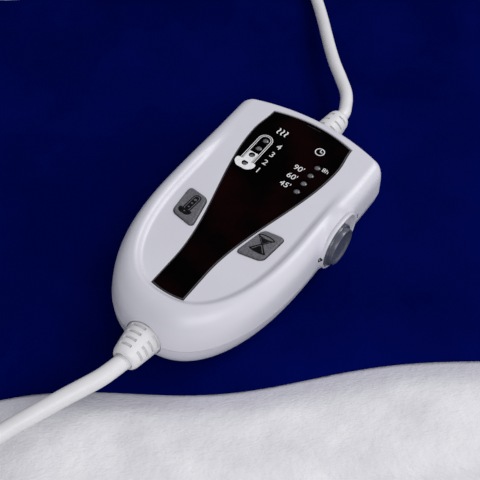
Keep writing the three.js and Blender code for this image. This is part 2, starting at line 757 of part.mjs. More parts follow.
// Window outline: a narrow tail strip that flares to the head, with a bowed head edge
function windowShape(grow) {
  const tail = tailEnd + WINDOW_TAIL_GAP - grow;
  const head = headEnd - WINDOW_HEAD_GAP - WINDOW_HEAD_BOW + grow;
  const flareHead = headEnd - WINDOW_FLARE[0];
  const flareTail = headEnd - WINDOW_FLARE[1];
  const halfAt = (y) => {
    const flare = THREE.MathUtils.smoothstep(y, flareTail, flareHead);
    const closing = THREE.MathUtils.smoothstep(y, flareHead, head);
    const half = WINDOW_NECK + (WINDOW_WIDE - WINDOW_NECK) * flare;
    return half - (WINDOW_WIDE - WINDOW_HEAD_HALF) * closing + grow;
  };
  const steps = 16;
  const right = Array.from({ length: steps + 1 }, (_, i) => {
    const y = tail + ((head - tail) * i) / steps;
    return [halfAt(y), y];
  });
  const shape = new THREE.Shape();
  shape.moveTo(-right[0][0], tail);
  shape.quadraticCurveTo(0, tail - 2 * WINDOW_TAIL_BOW, right[0][0], tail);
  right.slice(1).forEach(([x, y]) => shape.lineTo(x, y));
  shape.quadraticCurveTo(0, head + 2 * WINDOW_HEAD_BOW, -right.at(-1)[0], head);
  right.slice(1, -1).reverse().forEach(([x, y]) => shape.lineTo(-x, y));
  return shape;
}

const ledPlaces = [-1, 1].flatMap((side) =>
  Array.from({ length: LED_COUNT }, (_, i) => ({
    name: (side < 0 ? "heat_led_" : "time_led_") + (LED_COUNT - i),
    x: side * LED_COLUMN_X,
    y: headEnd - LED_FIRST_FROM_HEAD - i * LED_PITCH,
  })),
);

// Button corners on one side of the window, counter-clockwise from above
function buttonCorners(side) {
  const corners = BUTTON_CORNERS.map(([x, fromHead]) => [side * x, headEnd - fromHead]);
  return side > 0 ? corners : corners.reverse();
}

function buildTopShell() {
  const outer = loft(
    UPPER_ROWS.map(([wall, rim, side, tail, head]) =>
      housingRing(side, tail, head, (y) => upperHeight(wall, rim, y)),
    ),
  );
  const hollowRows = [
    [SEAM_HEIGHT - 1, WALL, WALL, WALL],
    [SEAM_HEIGHT + LIP_RISE + GAP, WALL, WALL, WALL],
    [SEAM_HEIGHT + 5, WALL + 0.3, WALL + 1, WALL + 0.2],
    [panelUnderside - 1.5, WALL + 1.5, WALL + 4, WALL + 1],
    [panelUnderside, WALL + 4, WALL + 7, WALL + 2],
  ];
  const hollow = hollowLoft(hollowRows);
  const shell = carve(fuse(outer, [overlapOf(collar(), aboveSeam)]), [
    carve(hollow, innerBosses(SEAM_HEIGHT - 2, PANEL_HEIGHT)),
  ]);
  const slotHalf = NECK_SIZE[0] / 2 + SLIDER_TRAVEL / 2 + RUNNING_GAP;
  const slotTall = NECK_SIZE[1] / 2 + RUNNING_GAP;
  const cuts = [
    ...sharedCuts(),
    prism(windowShape(GAP), PANEL_HEIGHT - WINDOW_RECESS, PANEL_HEIGHT + 5),
    box(
      [bossInner - 1, HALF_WIDTH],
      [slotMiddle - slotHalf, slotMiddle + slotHalf],
      [SLIDER_HEIGHT - slotTall, SLIDER_HEIGHT + slotTall],
    ),
  ];
  ledPlaces.forEach(({ x, y }) => {
    cuts.push(column(x, y, LED_DIAMETER + 2 * GAP, panelUnderside - 1, PANEL_HEIGHT, 12));
  });
  for (const side of [-1, 1]) {
    const well = roundedShape(spread(buttonCorners(side), RUNNING_GAP), BUTTON_ROUND + RUNNING_GAP);
    cuts.push(prism(well, panelUnderside - 1, PANEL_HEIGHT + 5, 3));
  }
  screwPlaces.forEach(([x, y]) => {
    cuts.push(column(x, y, SCREW_DIAMETER + 2 * GAP, SEAM_HEIGHT - 1, SCREW_END + 1, 12));
  });
  addPiece(controller, "top_shell", carve(shell, cuts), "housing");
}

// Bottom shell with its locating lip, board standoffs, cord posts and screw wells
function buildBottomShell() {
  const seam = SEAM_HEIGHT - GAP / 2;
  const outer = loft(
    LOWER_ROWS.map(([share, side, tail, head]) => housingRing(side, tail, head, () => seam * share)),
  );
  const inner = WALL + GAP + LIP_THICK;
  const hollowRows = [
    [FLOOR_THICK, inner + 4.5, inner + 4.5, inner + 3],
    [FLOOR_THICK + 2.5, inner + 1.6, inner + 1.5, inner + 1],
    [seam - 3, inner + 0.2, inner + 0.1, inner + 0.1],
    [SEAM_HEIGHT + 1, inner, inner, inner],
  ];
  const hollow = hollowLoft(hollowRows);
  const standoffX = boardHalf - STANDOFF_INSET;
  const boardEnds = [boardTail + STANDOFF_INSET, boardHead - STANDOFF_INSET];
  const standoffs = boardEnds.flatMap((y) =>
    [-1, 1].map((side) => column(side * standoffX, y, STANDOFF_DIAMETER, 1, BOARD_BOTTOM - GAP, 10)),
  );
  const shell = carve(fuse(outer, [overlapOf(collar(), belowSeam)]), [
    carve(hollow, innerBosses(0, SEAM_HEIGHT + 2)),
  ]);

  const lipOuter = WALL + GAP;
  const lipBand = (inset) =>
    hollowLoft([seam - 1.5, SEAM_HEIGHT + LIP_RISE].map((z) => [z, inset, inset, inset]));
  const keepOut = SCREW_COLUMN / 2 + GAP + 0.5;
  const slideReach = collarRadius + SLIDER_TRAVEL / 2 + 1;
  const reliefReach = TAIL_RELIEF.base / 2 + RELIEF_BOSS_WALL + 1;
  const lipCuts = [
    lipBand(inner),
    box([bossInner - 1, HALF_WIDTH + 1], [slotMiddle - slideReach, slotMiddle + slideReach], [seam, 20]),
    box([-reliefReach, reliefReach], [tailEnd, tailFlange + 1], [seam, 20]),
    box([-reliefReach, reliefReach], [headFlange - 1, headEnd], [seam, 20]),
    ...screwPlaces.map(([x, y]) => column(x, y, 2 * keepOut, seam, 20)),
  ];
  const lip = carve(lipBand(lipOuter), lipCuts);

  const postTop = (diameter) => SEAM_HEIGHT + diameter / 2;
  const posts = [-1, 1].flatMap((side) => [
    column((side * GRIP_SPAN) / 2, gripTail, GRIP_POST, 1, postTop(MAINS_DIAMETER), 10),
    column((side * GRIP_SPAN) / 2, gripHead, GRIP_POST, 1, postTop(PAD_LEAD_DIAMETER), 10),
  ]);
  const cuts = sharedCuts();
  screwPlaces.forEach(([x, y]) => {
    cuts.push(column(x, y, SCREW_DIAMETER + 2 * GAP, -1, SEAM_HEIGHT + 1, 12));
    cuts.push(column(x, y, SCREW_HEAD + 2 * GAP, -1, SCREW_RECESS + SCREW_HEAD_HEIGHT + GAP, 14));
  });
  const whole = fuse(shell, [lip, ...standoffs, ...posts]);
  addPiece(controller, "bottom_shell", carve(whole, cuts), "housing");
}

function buildWindow() {
  const top = PANEL_HEIGHT - WINDOW_BELOW_PANEL;
  const plate = prism(windowShape(0), top - WINDOW_THICK, top);
  const holes = ledPlaces.map(({ x, y }) => column(x, y, LED_DIAMETER + 2 * GAP, top - 3, top + 1, 12));
  addPiece(controller, "display_window", carve(plate, holes), "window");
}

// Indicator lamps: a domed lens on a flange, in two holders on the board
function buildLamps() {
  const top = PANEL_HEIGHT - WINDOW_BELOW_PANEL;
  const foot = top - LED_LENGTH;
  const radius = LED_DIAMETER / 2;
  const lens = [
    [0, foot],
    [LED_FLANGE / 2, foot],
    [LED_FLANGE / 2, foot + 1],
    [radius, foot + 1],
    [radius, top - radius],
    [radius * 0.8, top - radius * 0.4],
    [radius * 0.4, top - radius * 0.08],
    [0, top],
  ];
  ledPlaces.forEach(({ name, x, y }) => {
    addPiece(controller, name, turned(lens, 8).rotateX(Math.PI / 2).translate(x, y, 0), "led");
  });
  const rowEnds = [
    headEnd - LED_FIRST_FROM_HEAD - (LED_COUNT - 1) * LED_PITCH - LED_FLANGE,
    headEnd - LED_FIRST_FROM_HEAD + LED_FLANGE,
  ];
  for (const side of [-1, 1]) {
    const xs = [-0.5, 0.5].map((edge) => side * LED_COLUMN_X + edge * LED_HOLDER_WIDTH);
    const name = side < 0 ? "heat_led_holder" : "time_led_holder";
    addPiece(controller, name, box(xs, rowEnds, [onBoard, foot - GAP]), "dark");
  }
}

// Press button: a rounded cap in its well, a flange under the panel and a stem on the key switch
function buildButtons() {
  for (const side of [-1, 1]) {
    const corners = buttonCorners(side);
    const label = side < 0 ? "heat" : "time";
    const top = PANEL_HEIGHT + BUTTON_PROUD;
    const flangeTop = panelUnderside - GAP;
    const flangeLow = flangeTop - BUTTON_FLANGE_THICK;
    const capShape = roundedShape(spread(corners, -BUTTON_EDGE), BUTTON_ROUND);
    const cap = new THREE.ExtrudeGeometry(capShape, {
      depth: top - flangeTop + 0.5 - BUTTON_EDGE,
      bevelThickness: BUTTON_EDGE,
      bevelSize: BUTTON_EDGE,
      bevelSegments: 2,
      curveSegments: 3,
    }).translate(0, 0, flangeTop - 0.5);
    const flangeShape = roundedShape(spread(corners, BUTTON_FLANGE), BUTTON_ROUND);
    const flange = prism(flangeShape, flangeLow, flangeTop, 2);
    const [x, y] = middleOf(corners);
    const plungerTop = onBoard + TACT_HEIGHT + PLUNGER_HEIGHT / 2;
    const stem = column(x, y, BUTTON_STEM, plungerTop + GAP, flangeLow + 0.5, 12);
    addPiece(controller, label + "_button", fuse(cap, [flange, stem]), "button");

    const half = TACT_SIZE / 2;
    const bodyTop = onBoard + TACT_HEIGHT;
    const body = box([x - half, x + half], [y - half, y + half], [onBoard, bodyTop]);
    const plungerLow = plungerTop - PLUNGER_HEIGHT;
    const boreLow = plungerLow - BUTTON_TRAVEL - GAP;
    const bore = column(x, y, PLUNGER_DIAMETER + 2 * RUNNING_GAP, boreLow, bodyTop + 1, 12);
    addPiece(controller, label + "_key_switch", carve(body, [bore]), "dark");
    const plunger = column(x, y, PLUNGER_DIAMETER, plungerLow, plungerTop, 12);
    addPiece(controller, label + "_key_plunger", plunger, "pale");
  }
}

// Slide switch: thumb disc with a dished face on a neck, retaining plate, lever and switch body
function buildSlider() {
  const radius = SLIDER_DIAMETER / 2;
  const back = recessFloor + GAP;
  const face = HALF_WIDTH + SLIDER_PROUD;
  const step = face - 1.6;
  const disc = turned(
    [
      [0, back],
      [radius, back],
      [radius, step - 0.5],
      [radius - 0.5, step],
      [radius - 1, step],
      [radius - 1.2, face - 0.3],
      [radius - 1.6, face],
      [radius - 2, face],
      [radius - 2.9, face - 0.9],
      [0, face - 1.3],
    ],
    28,
  )
    .rotateZ(-Math.PI / 2)
    .translate(0, sliderY, SLIDER_HEIGHT);
  const neckEnd = back - NECK_LENGTH;
  const across = (size) => [sliderY - size / 2, sliderY + size / 2];
  const upright = (size) => [SLIDER_HEIGHT - size / 2, SLIDER_HEIGHT + size / 2];
  const neck = box([neckEnd, back + 1], across(NECK_SIZE[0]), upright(NECK_SIZE[1]));
  addPiece(controller, "power_slider", fuse(disc, [neck]), "slider");

  const plateOuter = bossInner - GAP;
  const plateInner = plateOuter - PLATE_SIZE[0];
  const plate = box([plateInner, plateOuter], across(PLATE_SIZE[1]), upright(PLATE_SIZE[2]));
  const [eyeLong, eyeTall] = NECK_SIZE.map((size) => size + 2 * GAP);
  const eye = box([neckEnd - GAP, plateOuter + 1], across(eyeLong), upright(eyeTall));
  addPiece(controller, "slider_plate", carve(plate, [eye]), "dark");

  const switchOuter = plateInner - SWITCH_FROM_PLATE;
  const switchInner = switchOuter - SWITCH_SIZE[0];
  const leverIn = switchInner + SWITCH_SIZE[0] / 2;
  const lever = box([leverIn, plateInner - GAP], across(LEVER_SIZE), upright(LEVER_SIZE));
  addPiece(controller, "switch_lever", lever, "pale");
  const body = box(
    [switchInner, switchOuter],
    [slotMiddle - SWITCH_SIZE[1] / 2, slotMiddle + SWITCH_SIZE[1] / 2],
    [onBoard, onBoard + SWITCH_SIZE[2]],
  );
  const slideHalf = LEVER_SIZE / 2 + SLIDER_TRAVEL / 2 + RUNNING_GAP;
  const slot = box(
    [leverIn - RUNNING_GAP, switchOuter + 1],
    [slotMiddle - slideHalf, slotMiddle + slideHalf],
    upright(LEVER_SIZE + 2 * RUNNING_GAP),
  );
  addPiece(controller, "switch_body", carve(body, [slot]), "metal");
}

// Circuit board with its terminals, fuse, capacitor, triac and control chip
function buildBoard() {
  const halfY = (boardHead - boardTail) / 2;
  const board = prism(roundedRectangle(boardHalf, halfY, BOARD_CORNER), BOARD_BOTTOM, boardTop);
  addPiece(controller, "circuit_board", board.translate(0, (boardHead + boardTail) / 2, 0), "board");

  const [wide, deep, tall] = TERMINAL_SIZE;
  const terminal = (front, back) => {
    const middle = (front + back) / 2;
    const block = box([-wide / 2, wide / 2], [front, back], [onBoard, onBoard + tall]);
    const ways = [-1, 0, 1].map((way) =>
      column((way * wide) / 3, middle, TERMINAL_WAY, onBoard + TERMINAL_WAY, onBoard + tall + 1, 10),
    );
    return carve(block, ways);
  };
  const tailTerminal = boardTail + TERMINAL_INSET;
  const headTerminal = boardHead - TERMINAL_INSET;
  addPiece(controller, "mains_terminal", terminal(tailTerminal, tailTerminal + deep), "pale");
  addPiece(controller, "pad_terminal", terminal(headTerminal - deep, headTerminal), "pale");

  const capRadius = FUSE_CAP.diameter / 2;
  const fuseProfile = [
    [0, 0],
    [capRadius, 0],
    [capRadius, FUSE_CAP.long],
    [FUSE_GLASS / 2, FUSE_CAP.long],
    [FUSE_GLASS / 2, FUSE_LENGTH - FUSE_CAP.long],
    [capRadius, FUSE_LENGTH - FUSE_CAP.long],
    [capRadius, FUSE_LENGTH],
    [0, FUSE_LENGTH],
  ];
  const fuseFront = tailTerminal + deep + 3;
  const fuseBar = turned(fuseProfile, 12).translate(0, fuseFront, onBoard + capRadius);
  addPiece(controller, "fuse", fuseBar, "metal");

  const [capX, capY, capZ] = CAPACITOR_SIZE;
  const capacitor = prism(roundedRectangle(capX / 2, capY / 2, 1.2), onBoard, onBoard + capZ);
  const capacitorX = capX / 2 - boardHalf + 0.5;
  addPiece(controller, "film_capacitor", capacitor.translate(capacitorX, slotMiddle, 0), "wire");

  const triacX = [TRIAC_X - TRIAC_SIZE[0] / 2, TRIAC_X + TRIAC_SIZE[0] / 2];
  const triacY = fuseFront + 2;
  const triacBody = box(triacX, [triacY, triacY + TRIAC_SIZE[1]], [onBoard, onBoard + TRIAC_SIZE[2]]);
  const triacTab = box(triacX, [triacY, triacY + TRIAC_TAB[0]], [onBoard, onBoard + TRIAC_TAB[1]]);
  addPiece(controller, "triac", fuse(triacBody, [triacTab]), "dark");

  const [chipX, chipDeep, chipTall] = CHIP_SIZE;
  const chipY = fuseFront + FUSE_LENGTH + 4;
  const chip = box([-chipX / 2, chipX / 2], [chipY, chipY + chipDeep], [onBoard, onBoard + chipTall]);
  const notch = column(0, chipY, CHIP_NOTCH, onBoard + chipTall / 2, onBoard + chipTall + 1, 8);
  addPiece(controller, "control_chip", carve(chip, [notch]), "dark");
}

// Strain relief along +Y from its base, with rows of slots between plain ridges above, below and aside
function reliefGeometry({ long, base, end, neck, flange, slots }) {
  const radiusAt = (along) => base / 2 + ((end - base) / 2) * (along / long);
  const neckBack = -(RELIEF_WALL + GAP);
  const body = turned(
    [
      [0, neckBack - RELIEF_FLANGE_THICK],
      [flange / 2, neckBack - RELIEF_FLANGE_THICK],
      [flange / 2, neckBack],
      [neck / 2, neckBack],
      [neck / 2, 0],
      [base / 2 - 0.5, 0],
      [base / 2, 0.6],
      [radiusAt(long - 1.9), long - 1.9],
      [radiusAt(long) - 0.3, long - 0.8],
      [radiusAt(long) - 1.2, long],
      [0, long],
    ],
    RELIEF_SIDES,
  );
  const first = 2.2;
  const pitch = (long - 2 * first - 2) / (slots - 1);
  const cuts = Array.from({ length: slots }, (_, i) => {
    const middle = first + i * pitch;
    const depth = radiusAt(middle) - SLOT_DEPTH;
    const groove = turned(
      [
        [depth, middle - SLOT_WIDTH / 2],
        [base, middle - SLOT_WIDTH / 2],
        [base, middle + SLOT_WIDTH / 2],
        [depth, middle + SLOT_WIDTH / 2],
        [depth, middle - SLOT_WIDTH / 2],
      ],
      RELIEF_SIDES,
    );
    return carve(groove, [
      box([-SLOT_RIDGE / 2, SLOT_RIDGE / 2], [-50, 50], [-50, 50]),
      box([-50, 50], [-50, 50], [-SLOT_SIDE / 2, SLOT_SIDE / 2]),
    ]);
  });
  return carve(body, cuts);
}

// Reliefs at both ends, the lead ends inside the housing and the grips that hold them
const gripTail = tailFlange + RELIEF_FLANGE_THICK + GRIP_FROM_FLANGE;
const gripHead = headFlange - RELIEF_FLANGE_THICK - GRIP_FROM_FLANGE;
function buildCordEntries() {
  const tail = reliefGeometry(TAIL_RELIEF).rotateZ(Math.PI);
  tail.rotateY(THREE.MathUtils.degToRad(TAIL_RELIEF_TURN)).translate(0, tailBase, SEAM_HEIGHT);
  addPiece(controller, "tail_relief", tail, "cord");
  const head = reliefGeometry(HEAD_RELIEF).translate(0, headBase, SEAM_HEIGHT);
  addPiece(controller, "head_relief", head, "cord");

  const inner = tailFlange + RELIEF_FLANGE_THICK + GAP;
  const mainsEnd = rod(0, SEAM_HEIGHT, MAINS_DIAMETER, inner, boardTail - GAP, 12);
  addPiece(controller, "mains_lead_end", mainsEnd, "cord");
  const outer = headFlange - RELIEF_FLANGE_THICK - GAP;
  const padEnd = rod(0, SEAM_HEIGHT, PAD_LEAD_DIAMETER, boardHead + GAP, outer, 12);
  addPiece(controller, "pad_lead_end", padEnd, "cord");

  const grip = (y, diameter) => {
    const low = SEAM_HEIGHT + diameter / 2 + GAP;
    const half = GRIP_SIZE[0] / 2;
    const high = low + GRIP_SIZE[2];
    const bar = box([-half, half], [y - GRIP_SIZE[1] / 2, y + GRIP_SIZE[1] / 2], [low, high]);
    const eyes = [-1, 1].map((side) => column((side * GRIP_SPAN) / 2, y, GRIP_EYE, low - 1, high + 1, 10));
    return carve(bar, eyes);
  };
  addPiece(controller, "mains_cord_grip", grip(gripTail, MAINS_DIAMETER), "dark");
  addPiece(controller, "pad_cord_grip", grip(gripHead, PAD_LEAD_DIAMETER), "dark");
}

function buildScrews() {
  const low = SCREW_RECESS;
  const shoulder = low + SCREW_HEAD_HEIGHT;
  const profile = [
    [0, low],
    [SCREW_HEAD / 2 - 0.6, low],
    [SCREW_HEAD / 2, low + 0.8],
    [SCREW_HEAD / 2, shoulder],
    [SCREW_DIAMETER / 2, shoulder],
    [SCREW_DIAMETER / 2, SCREW_END - 1.5],
    [0, SCREW_END],
  ];
  screwPlaces.forEach(([x, y], i) => {
    const screw = turned(profile, 8).rotateX(Math.PI / 2).translate(x, y, 0);
    addPiece(controller, "case_screw_" + (i + 1), screw, "metal");
  });
}

// A point of the controller in the pad's frame
const fromController = (x, y, z) => controller.localToWorld(new THREE.Vector3(x, y, z));
// A point moved on along the line from another point
const beyond = (from, to, by) => to.clone().sub(from).setLength(by).add(to);

// Mains lead from the tail relief across the fleece margin and down to the coil: rows of the share of
// the straight way, the distance to its left and the height of the cord's underside. It leaves the
// relief already turned a little towards the coil.
const MAINS_ROUTE = [
  [0.022, 0.5, 20.2],
  [0.06, 0.9, 19.8],
  [0.102, 0.4, 19.1],
  [0.144, -0.4, 18.1],
  [0.184, -1.1, 17],
  [0.224, -1.9, 15.7],
  [0.269, -2.8, 14.2],
  [0.313, -3.5, 12.6],
  [0.4, -4.4, 9.6],
  [0.5, -5.2, 6.8],
  [0.6, -5.7, 5.5],
  [0.7, -6, 5.5],
  [0.795, -5.7, 4.9],
  [0.885, -4.3, 2.9],
];

// Path of the coil: in towards the middle below, up a layer where it turns back, and out above
function coilPath() {
  const half = COIL_TURNS / 2;
  const count = Math.round(COIL_TURNS * COIL_STEPS);
  const points = [];
  for (let i = 0; i <= count; i++) {
    const turns = (COIL_TURNS * i) / count;
    const radius = COIL_INNER + coilPitch * Math.abs(turns - half);
    const climb = THREE.MathUtils.smoothstep(turns, half - 0.25, half + 0.25);
    const turn = COIL_START + 2 * Math.PI * turns;
    points.push(
      new THREE.Vector3(
        COIL_X + radius * Math.cos(turn),
        coilY + radius * Math.sin(turn),
        coilLow + coilPitch * climb,
      ),
    );
  }
  const first = beyond(points[1], points[0], MAINS_DIAMETER);
  const last = beyond(points.at(-2), points.at(-1), MAINS_DIAMETER);
  return [first, ...points, last];
}

// Least clear distance between parts of a path that lie more than a loop's half apart along it
function leastGap(path, diameter) {
  let least = Infinity;
  path.forEach((a, i) => {
    path.slice(i + COIL_STEPS / 2).forEach((b) => {
      least = Math.min(least, a.distanceTo(b) - diameter);
    });
  });
  return least;
}

function pathLength(points) {
  return new THREE.CatmullRomCurve3(points, false, "centripetal").getLength();
}

function buildMainsLead() {
  const coil = coilPath();
  addPiece(leads, "mains_coil", sweep(coil, MAINS_DIAMETER, COIL_SIDES), "cord");

  const exit = fromController(0, tailBase - TAIL_RELIEF.long - MAINS_START, SEAM_HEIGHT);
  const arrive = beyond(coil[1], coil[0], GAP);
  const lead = beyond(coil[1], coil[0], 9);
  const way = lead.clone().sub(exit);
  const left = new THREE.Vector3(-way.y, way.x, 0).normalize();
  const between = MAINS_ROUTE.map(([share, aside, under]) => {
    const point = exit.clone().addScaledVector(way, share).addScaledVector(left, aside);
    return point.setZ(under + MAINS_DIAMETER / 2);
  });
  const route = [exit, ...between, lead, arrive];
  addPiece(leads, "mains_cord", cordTube(route, MAINS_DIAMETER, 34), "cord");

  const leave = beyond(coil.at(-2), coil.at(-1), GAP);
  const heading = leave.clone().sub(coil.at(-1)).setZ(0).normalize();
  const plugHeight = FLOOR_CLEARANCE + PLUG_THICK / 2;
  const plugBack = leave.clone().addScaledVector(heading, PLUG_LEAD).setZ(plugHeight);
  const middle = leave.clone().lerp(plugBack, 0.5);
  const end = [
    leave,
    leave.clone().addScaledVector(heading, 8),
    middle,
    plugBack.clone().addScaledVector(heading, -8),
    plugBack,
  ];
  addPiece(leads, "mains_cord_end", cordTube(end, MAINS_DIAMETER, 6), "cord");
  buildPlug(plugBack, heading);
  buildTie();

  const length = pathLength(route) + pathLength(coil) + pathLength(end);
  console.log("mains lead", length.toFixed(0), "mm");
  console.log("least gap in the coil", leastGap(coil, MAINS_DIAMETER).toFixed(2), "mm");
}

// Flat two-pin plug, its pins pointing along the heading
function buildPlug(back, heading) {
  const plug = new THREE.Group();
  plug.position.copy(back).addScaledVector(heading, GAP);
  plug.rotation.z = Math.atan2(heading.y, heading.x);
  leads.add(plug);
  const bevel = 2.5;
  const half = PLUG_WIDTH / 2 - bevel;
  const tail = PLUG_TAIL / 2 - bevel;
  const [near, far] = [bevel, PLUG_LENGTH - bevel];
  const outline = [
    [near, -tail],
    [near + 9, -tail],
    [far - 9, -half],
    [far, -half],
    [far, half],
    [far - 9, half],
    [near + 9, tail],
    [near, tail],
  ];
  const depth = PLUG_THICK - 2 * bevel;
  const bulk = new THREE.ExtrudeGeometry(roundedShape(outline, 1.8), {
    depth,
    bevelThickness: bevel,
    bevelSize: bevel,
    bevelSegments: 3,
    curveSegments: 2,
  }).translate(0, 0, -depth / 2);
  const alongX = (diameter, y, from, to) => {
    const bar = new THREE.CylinderGeometry(diameter / 2, diameter / 2, to - from, 12);
    return bar.rotateZ(Math.PI / 2).translate((from + to) / 2, y, 0);
  };
  const sides = [-PIN_SPACING / 2, PIN_SPACING / 2];
  const socketEnd = PLUG_LENGTH - PIN_SOCKET;
  const sockets = sides.map((y) => alongX(PIN_DIAMETER + 2 * GAP, y, socketEnd, PLUG_LENGTH + 1));
  addPiece(plug, "plug_body", carve(bulk, sockets), "cord");
  sides.forEach((y, i) => {
    const pin = alongX(PIN_DIAMETER, y, socketEnd + GAP, PLUG_LENGTH + PIN_LENGTH);
    addPiece(plug, "plug_pin_" + (i + 1), pin, "metal");
  });
}

// Tie: a flat strap round all the turns of the coil
function buildTie() {
  const clear = GAP + MAINS_DIAMETER / 2;
  const halfWide = (coilOuter - COIL_INNER) / 2 + clear;
  const halfTall = coilPitch / 2 + clear;
  const strap = roundedRectangle(halfWide + TIE_THICK, halfTall + TIE_THICK, 3 + TIE_THICK);
  strap.holes.push(roundedRectangle(halfWide, halfTall, 3));
  const middle = (coilOuter + COIL_INNER) / 2;
  const band = prism(strap, -TIE_WIDTH / 2, TIE_WIDTH / 2, 3).rotateX(Math.PI / 2);
  band.translate(middle, 0, coilLow + coilPitch / 2).rotateZ(TIE_ANGLE).translate(COIL_X, coilY, 0);
  addPiece(leads, "cord_tie", band, "dark");
}

// Pad lead over the cover: rows of the distance right of the relief's exit, the share of the way from
// it to the cover's rear edge and the height of the cord's underside
const PAD_LEAD_ON_COVER = [
  [3.7, 0.053, 20.3],
  [6.4, 0.126, 19.6],
  [6.6, 0.211, 19],
  [5.8, 0.314, 18.4],
  [5.8, 0.399, 17.6],
  [6.4, 0.511, 16],
  [7.2, 0.636, 14],
  [7.6, 0.76, 12.2],
  [7.4, 0.885, 11.2],
];
// Then round behind the pad to the gland: rows of x, the distance behind the pad's rear edge and the
// height of the cord's underside
const PAD_LEAD_BEHIND = [
  [68.6, -46, 9.9],
  [66.4, -33, 7.3],
  [63, -20, 5.8],
  [57.6, -7, 5.7],
  [49.6, 6, 3.9],
  [39, 18, 1.4],
  [24, 28, 0.4],
  [6, 34, 0.3],
  [-14, 36, 0.3],
  [-34, 33.5, 0.4],
  [-51, 26.5, 1.6],
  [-62.5, 16, 4.2],
  [-68.4, 3.5, 6.9],
];
function buildPadLead() {
  const radius = PAD_LEAD_DIAMETER / 2;
  const exit = fromController(0, headBase + HEAD_RELIEF.long + GAP, SEAM_HEIGHT);
  const out = fromController(0, headBase + HEAD_RELIEF.long + 3, SEAM_HEIGHT);
  const onCover = PAD_LEAD_ON_COVER.map(([right, share, under]) => {
    const y = THREE.MathUtils.lerp(exit.y, coverHalfY, share);
    return new THREE.Vector3(exit.x + right, y, under + radius);
  });
  const behind = PAD_LEAD_BEHIND.map(
    ([x, back, under]) => new THREE.Vector3(x, PAD_DEPTH / 2 + back, under + radius),
  );
  const entry = new THREE.Vector3(GLAND_X, glandBase + GLAND_LENGTH + GAP, glandHeight);
  const arrive = entry.clone().add(new THREE.Vector3(0, 8, -GAP));
  const route = [exit, out, ...onCover, ...behind, arrive, entry];
  addPiece(leads, "pad_cord", cordTube(route, PAD_LEAD_DIAMETER, 44), "cord");
  console.log("pad lead", pathLength(route).toFixed(0), "mm");
}

buildFleece();
buildCover();
buildGland(buildHeatingLayer());
buildTopShell();
buildBottomShell();
buildWindow();
buildLamps();
buildButtons();
buildSlider();
buildBoard();
buildCordEntries();
buildScrews();
buildMainsLead();
buildPadLead();

export default product;
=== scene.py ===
# %% [markdown]
# # A heating pad with a hand controller
#
# The real thing is a soft fleece pad with a navy plush cover, and a glossy white controller that
# lies on it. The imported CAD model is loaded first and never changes: it gives every piece its
# place. Each piece that shows is then made again with a finer surface and a finish of its own.

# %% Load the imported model
import json
from math import atan2, copysign, cos, hypot, pi, radians, sin, sqrt

import bmesh
import bpy
from mathutils import Matrix, Vector, noise
from mathutils.bvhtree import BVHTree


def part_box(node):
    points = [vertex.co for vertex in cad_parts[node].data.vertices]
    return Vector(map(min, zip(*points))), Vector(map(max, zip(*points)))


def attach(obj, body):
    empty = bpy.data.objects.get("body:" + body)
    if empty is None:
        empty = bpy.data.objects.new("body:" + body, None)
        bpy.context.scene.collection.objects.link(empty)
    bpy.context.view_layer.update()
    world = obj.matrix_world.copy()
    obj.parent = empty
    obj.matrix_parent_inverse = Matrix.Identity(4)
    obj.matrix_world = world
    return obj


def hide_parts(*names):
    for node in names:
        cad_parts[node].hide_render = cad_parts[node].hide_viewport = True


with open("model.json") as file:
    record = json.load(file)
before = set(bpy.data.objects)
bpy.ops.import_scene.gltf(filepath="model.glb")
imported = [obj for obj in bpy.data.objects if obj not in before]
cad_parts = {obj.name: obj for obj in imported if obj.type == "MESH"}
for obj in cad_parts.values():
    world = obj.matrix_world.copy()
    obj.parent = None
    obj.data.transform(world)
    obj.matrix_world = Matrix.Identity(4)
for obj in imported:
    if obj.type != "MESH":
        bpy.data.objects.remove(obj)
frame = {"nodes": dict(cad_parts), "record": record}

scene = bpy.context.scene
scene.view_settings.view_transform = "Standard"
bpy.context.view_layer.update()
nodes = frame["nodes"]
BASE = "pad_and_controller"
print("nodes in the frame:", len(nodes))

# %% [markdown]
# ## The camera
#
# The picture was taken from the front and a little to the left, looking half down. The three
# directions below are the camera's own right, up and backward axes in the pad's frame. They make
# the columns of its rotation, which is simpler than three turn angles.

# %% Camera
MM = 0.001
CAMERA_PLACE = Vector((-53.1, -336.6, 379.6)) * MM
CAMERA_AXES = (
    (0.98639, -0.15512, 0.05459),
    (0.08758, 0.77649, 0.62401),
    (-0.13919, -0.61073, 0.77951),
)


def add_object(name, data):
    thing = bpy.data.objects.new(name, data)
    scene.collection.objects.link(thing)
    return thing


camera_data = bpy.data.cameras.new("camera")
camera_data.lens = 90
camera_data.sensor_width = 36
camera_data.clip_start = 0.02
camera = add_object("camera", camera_data)
camera_turn = Matrix(CAMERA_AXES).transposed().to_4x4()
camera.matrix_world = Matrix.Translation(CAMERA_PLACE) @ camera_turn
scene.camera = camera
print("camera height above the floor:", round(CAMERA_PLACE.z, 3), "m")

# %% [markdown]
# ## Finishes: the helpers
#
# Every finish starts from one shader whose plain numbers sit on its own sockets. What varies over
# the surface, such as mottling, fine grain or worn gloss, comes from noise in object coordinates,
# so that it stays with the piece and shows from all sides.

# %% Finish helpers
def shader_of(material):
    return material.node_tree.nodes["Principled BSDF"]


def write_sockets(node, sockets):
    for socket, value in sockets.items():
        node.inputs[socket].default_value = value
    return node


def new_node(material, kind, **sockets):
    node = material.node_tree.nodes.new("ShaderNode" + kind)
    return write_sockets(node, {name.replace("_", " "): value for name, value in sockets.items()})


def finish(name, color, roughness, sockets=None):
    material = bpy.data.materials.new(name)
    material.use_nodes = True
    plain = {"Base Color": (*color, 1), "Roughness": roughness}
    write_sockets(shader_of(material), plain | (sockets or {}))
    return material


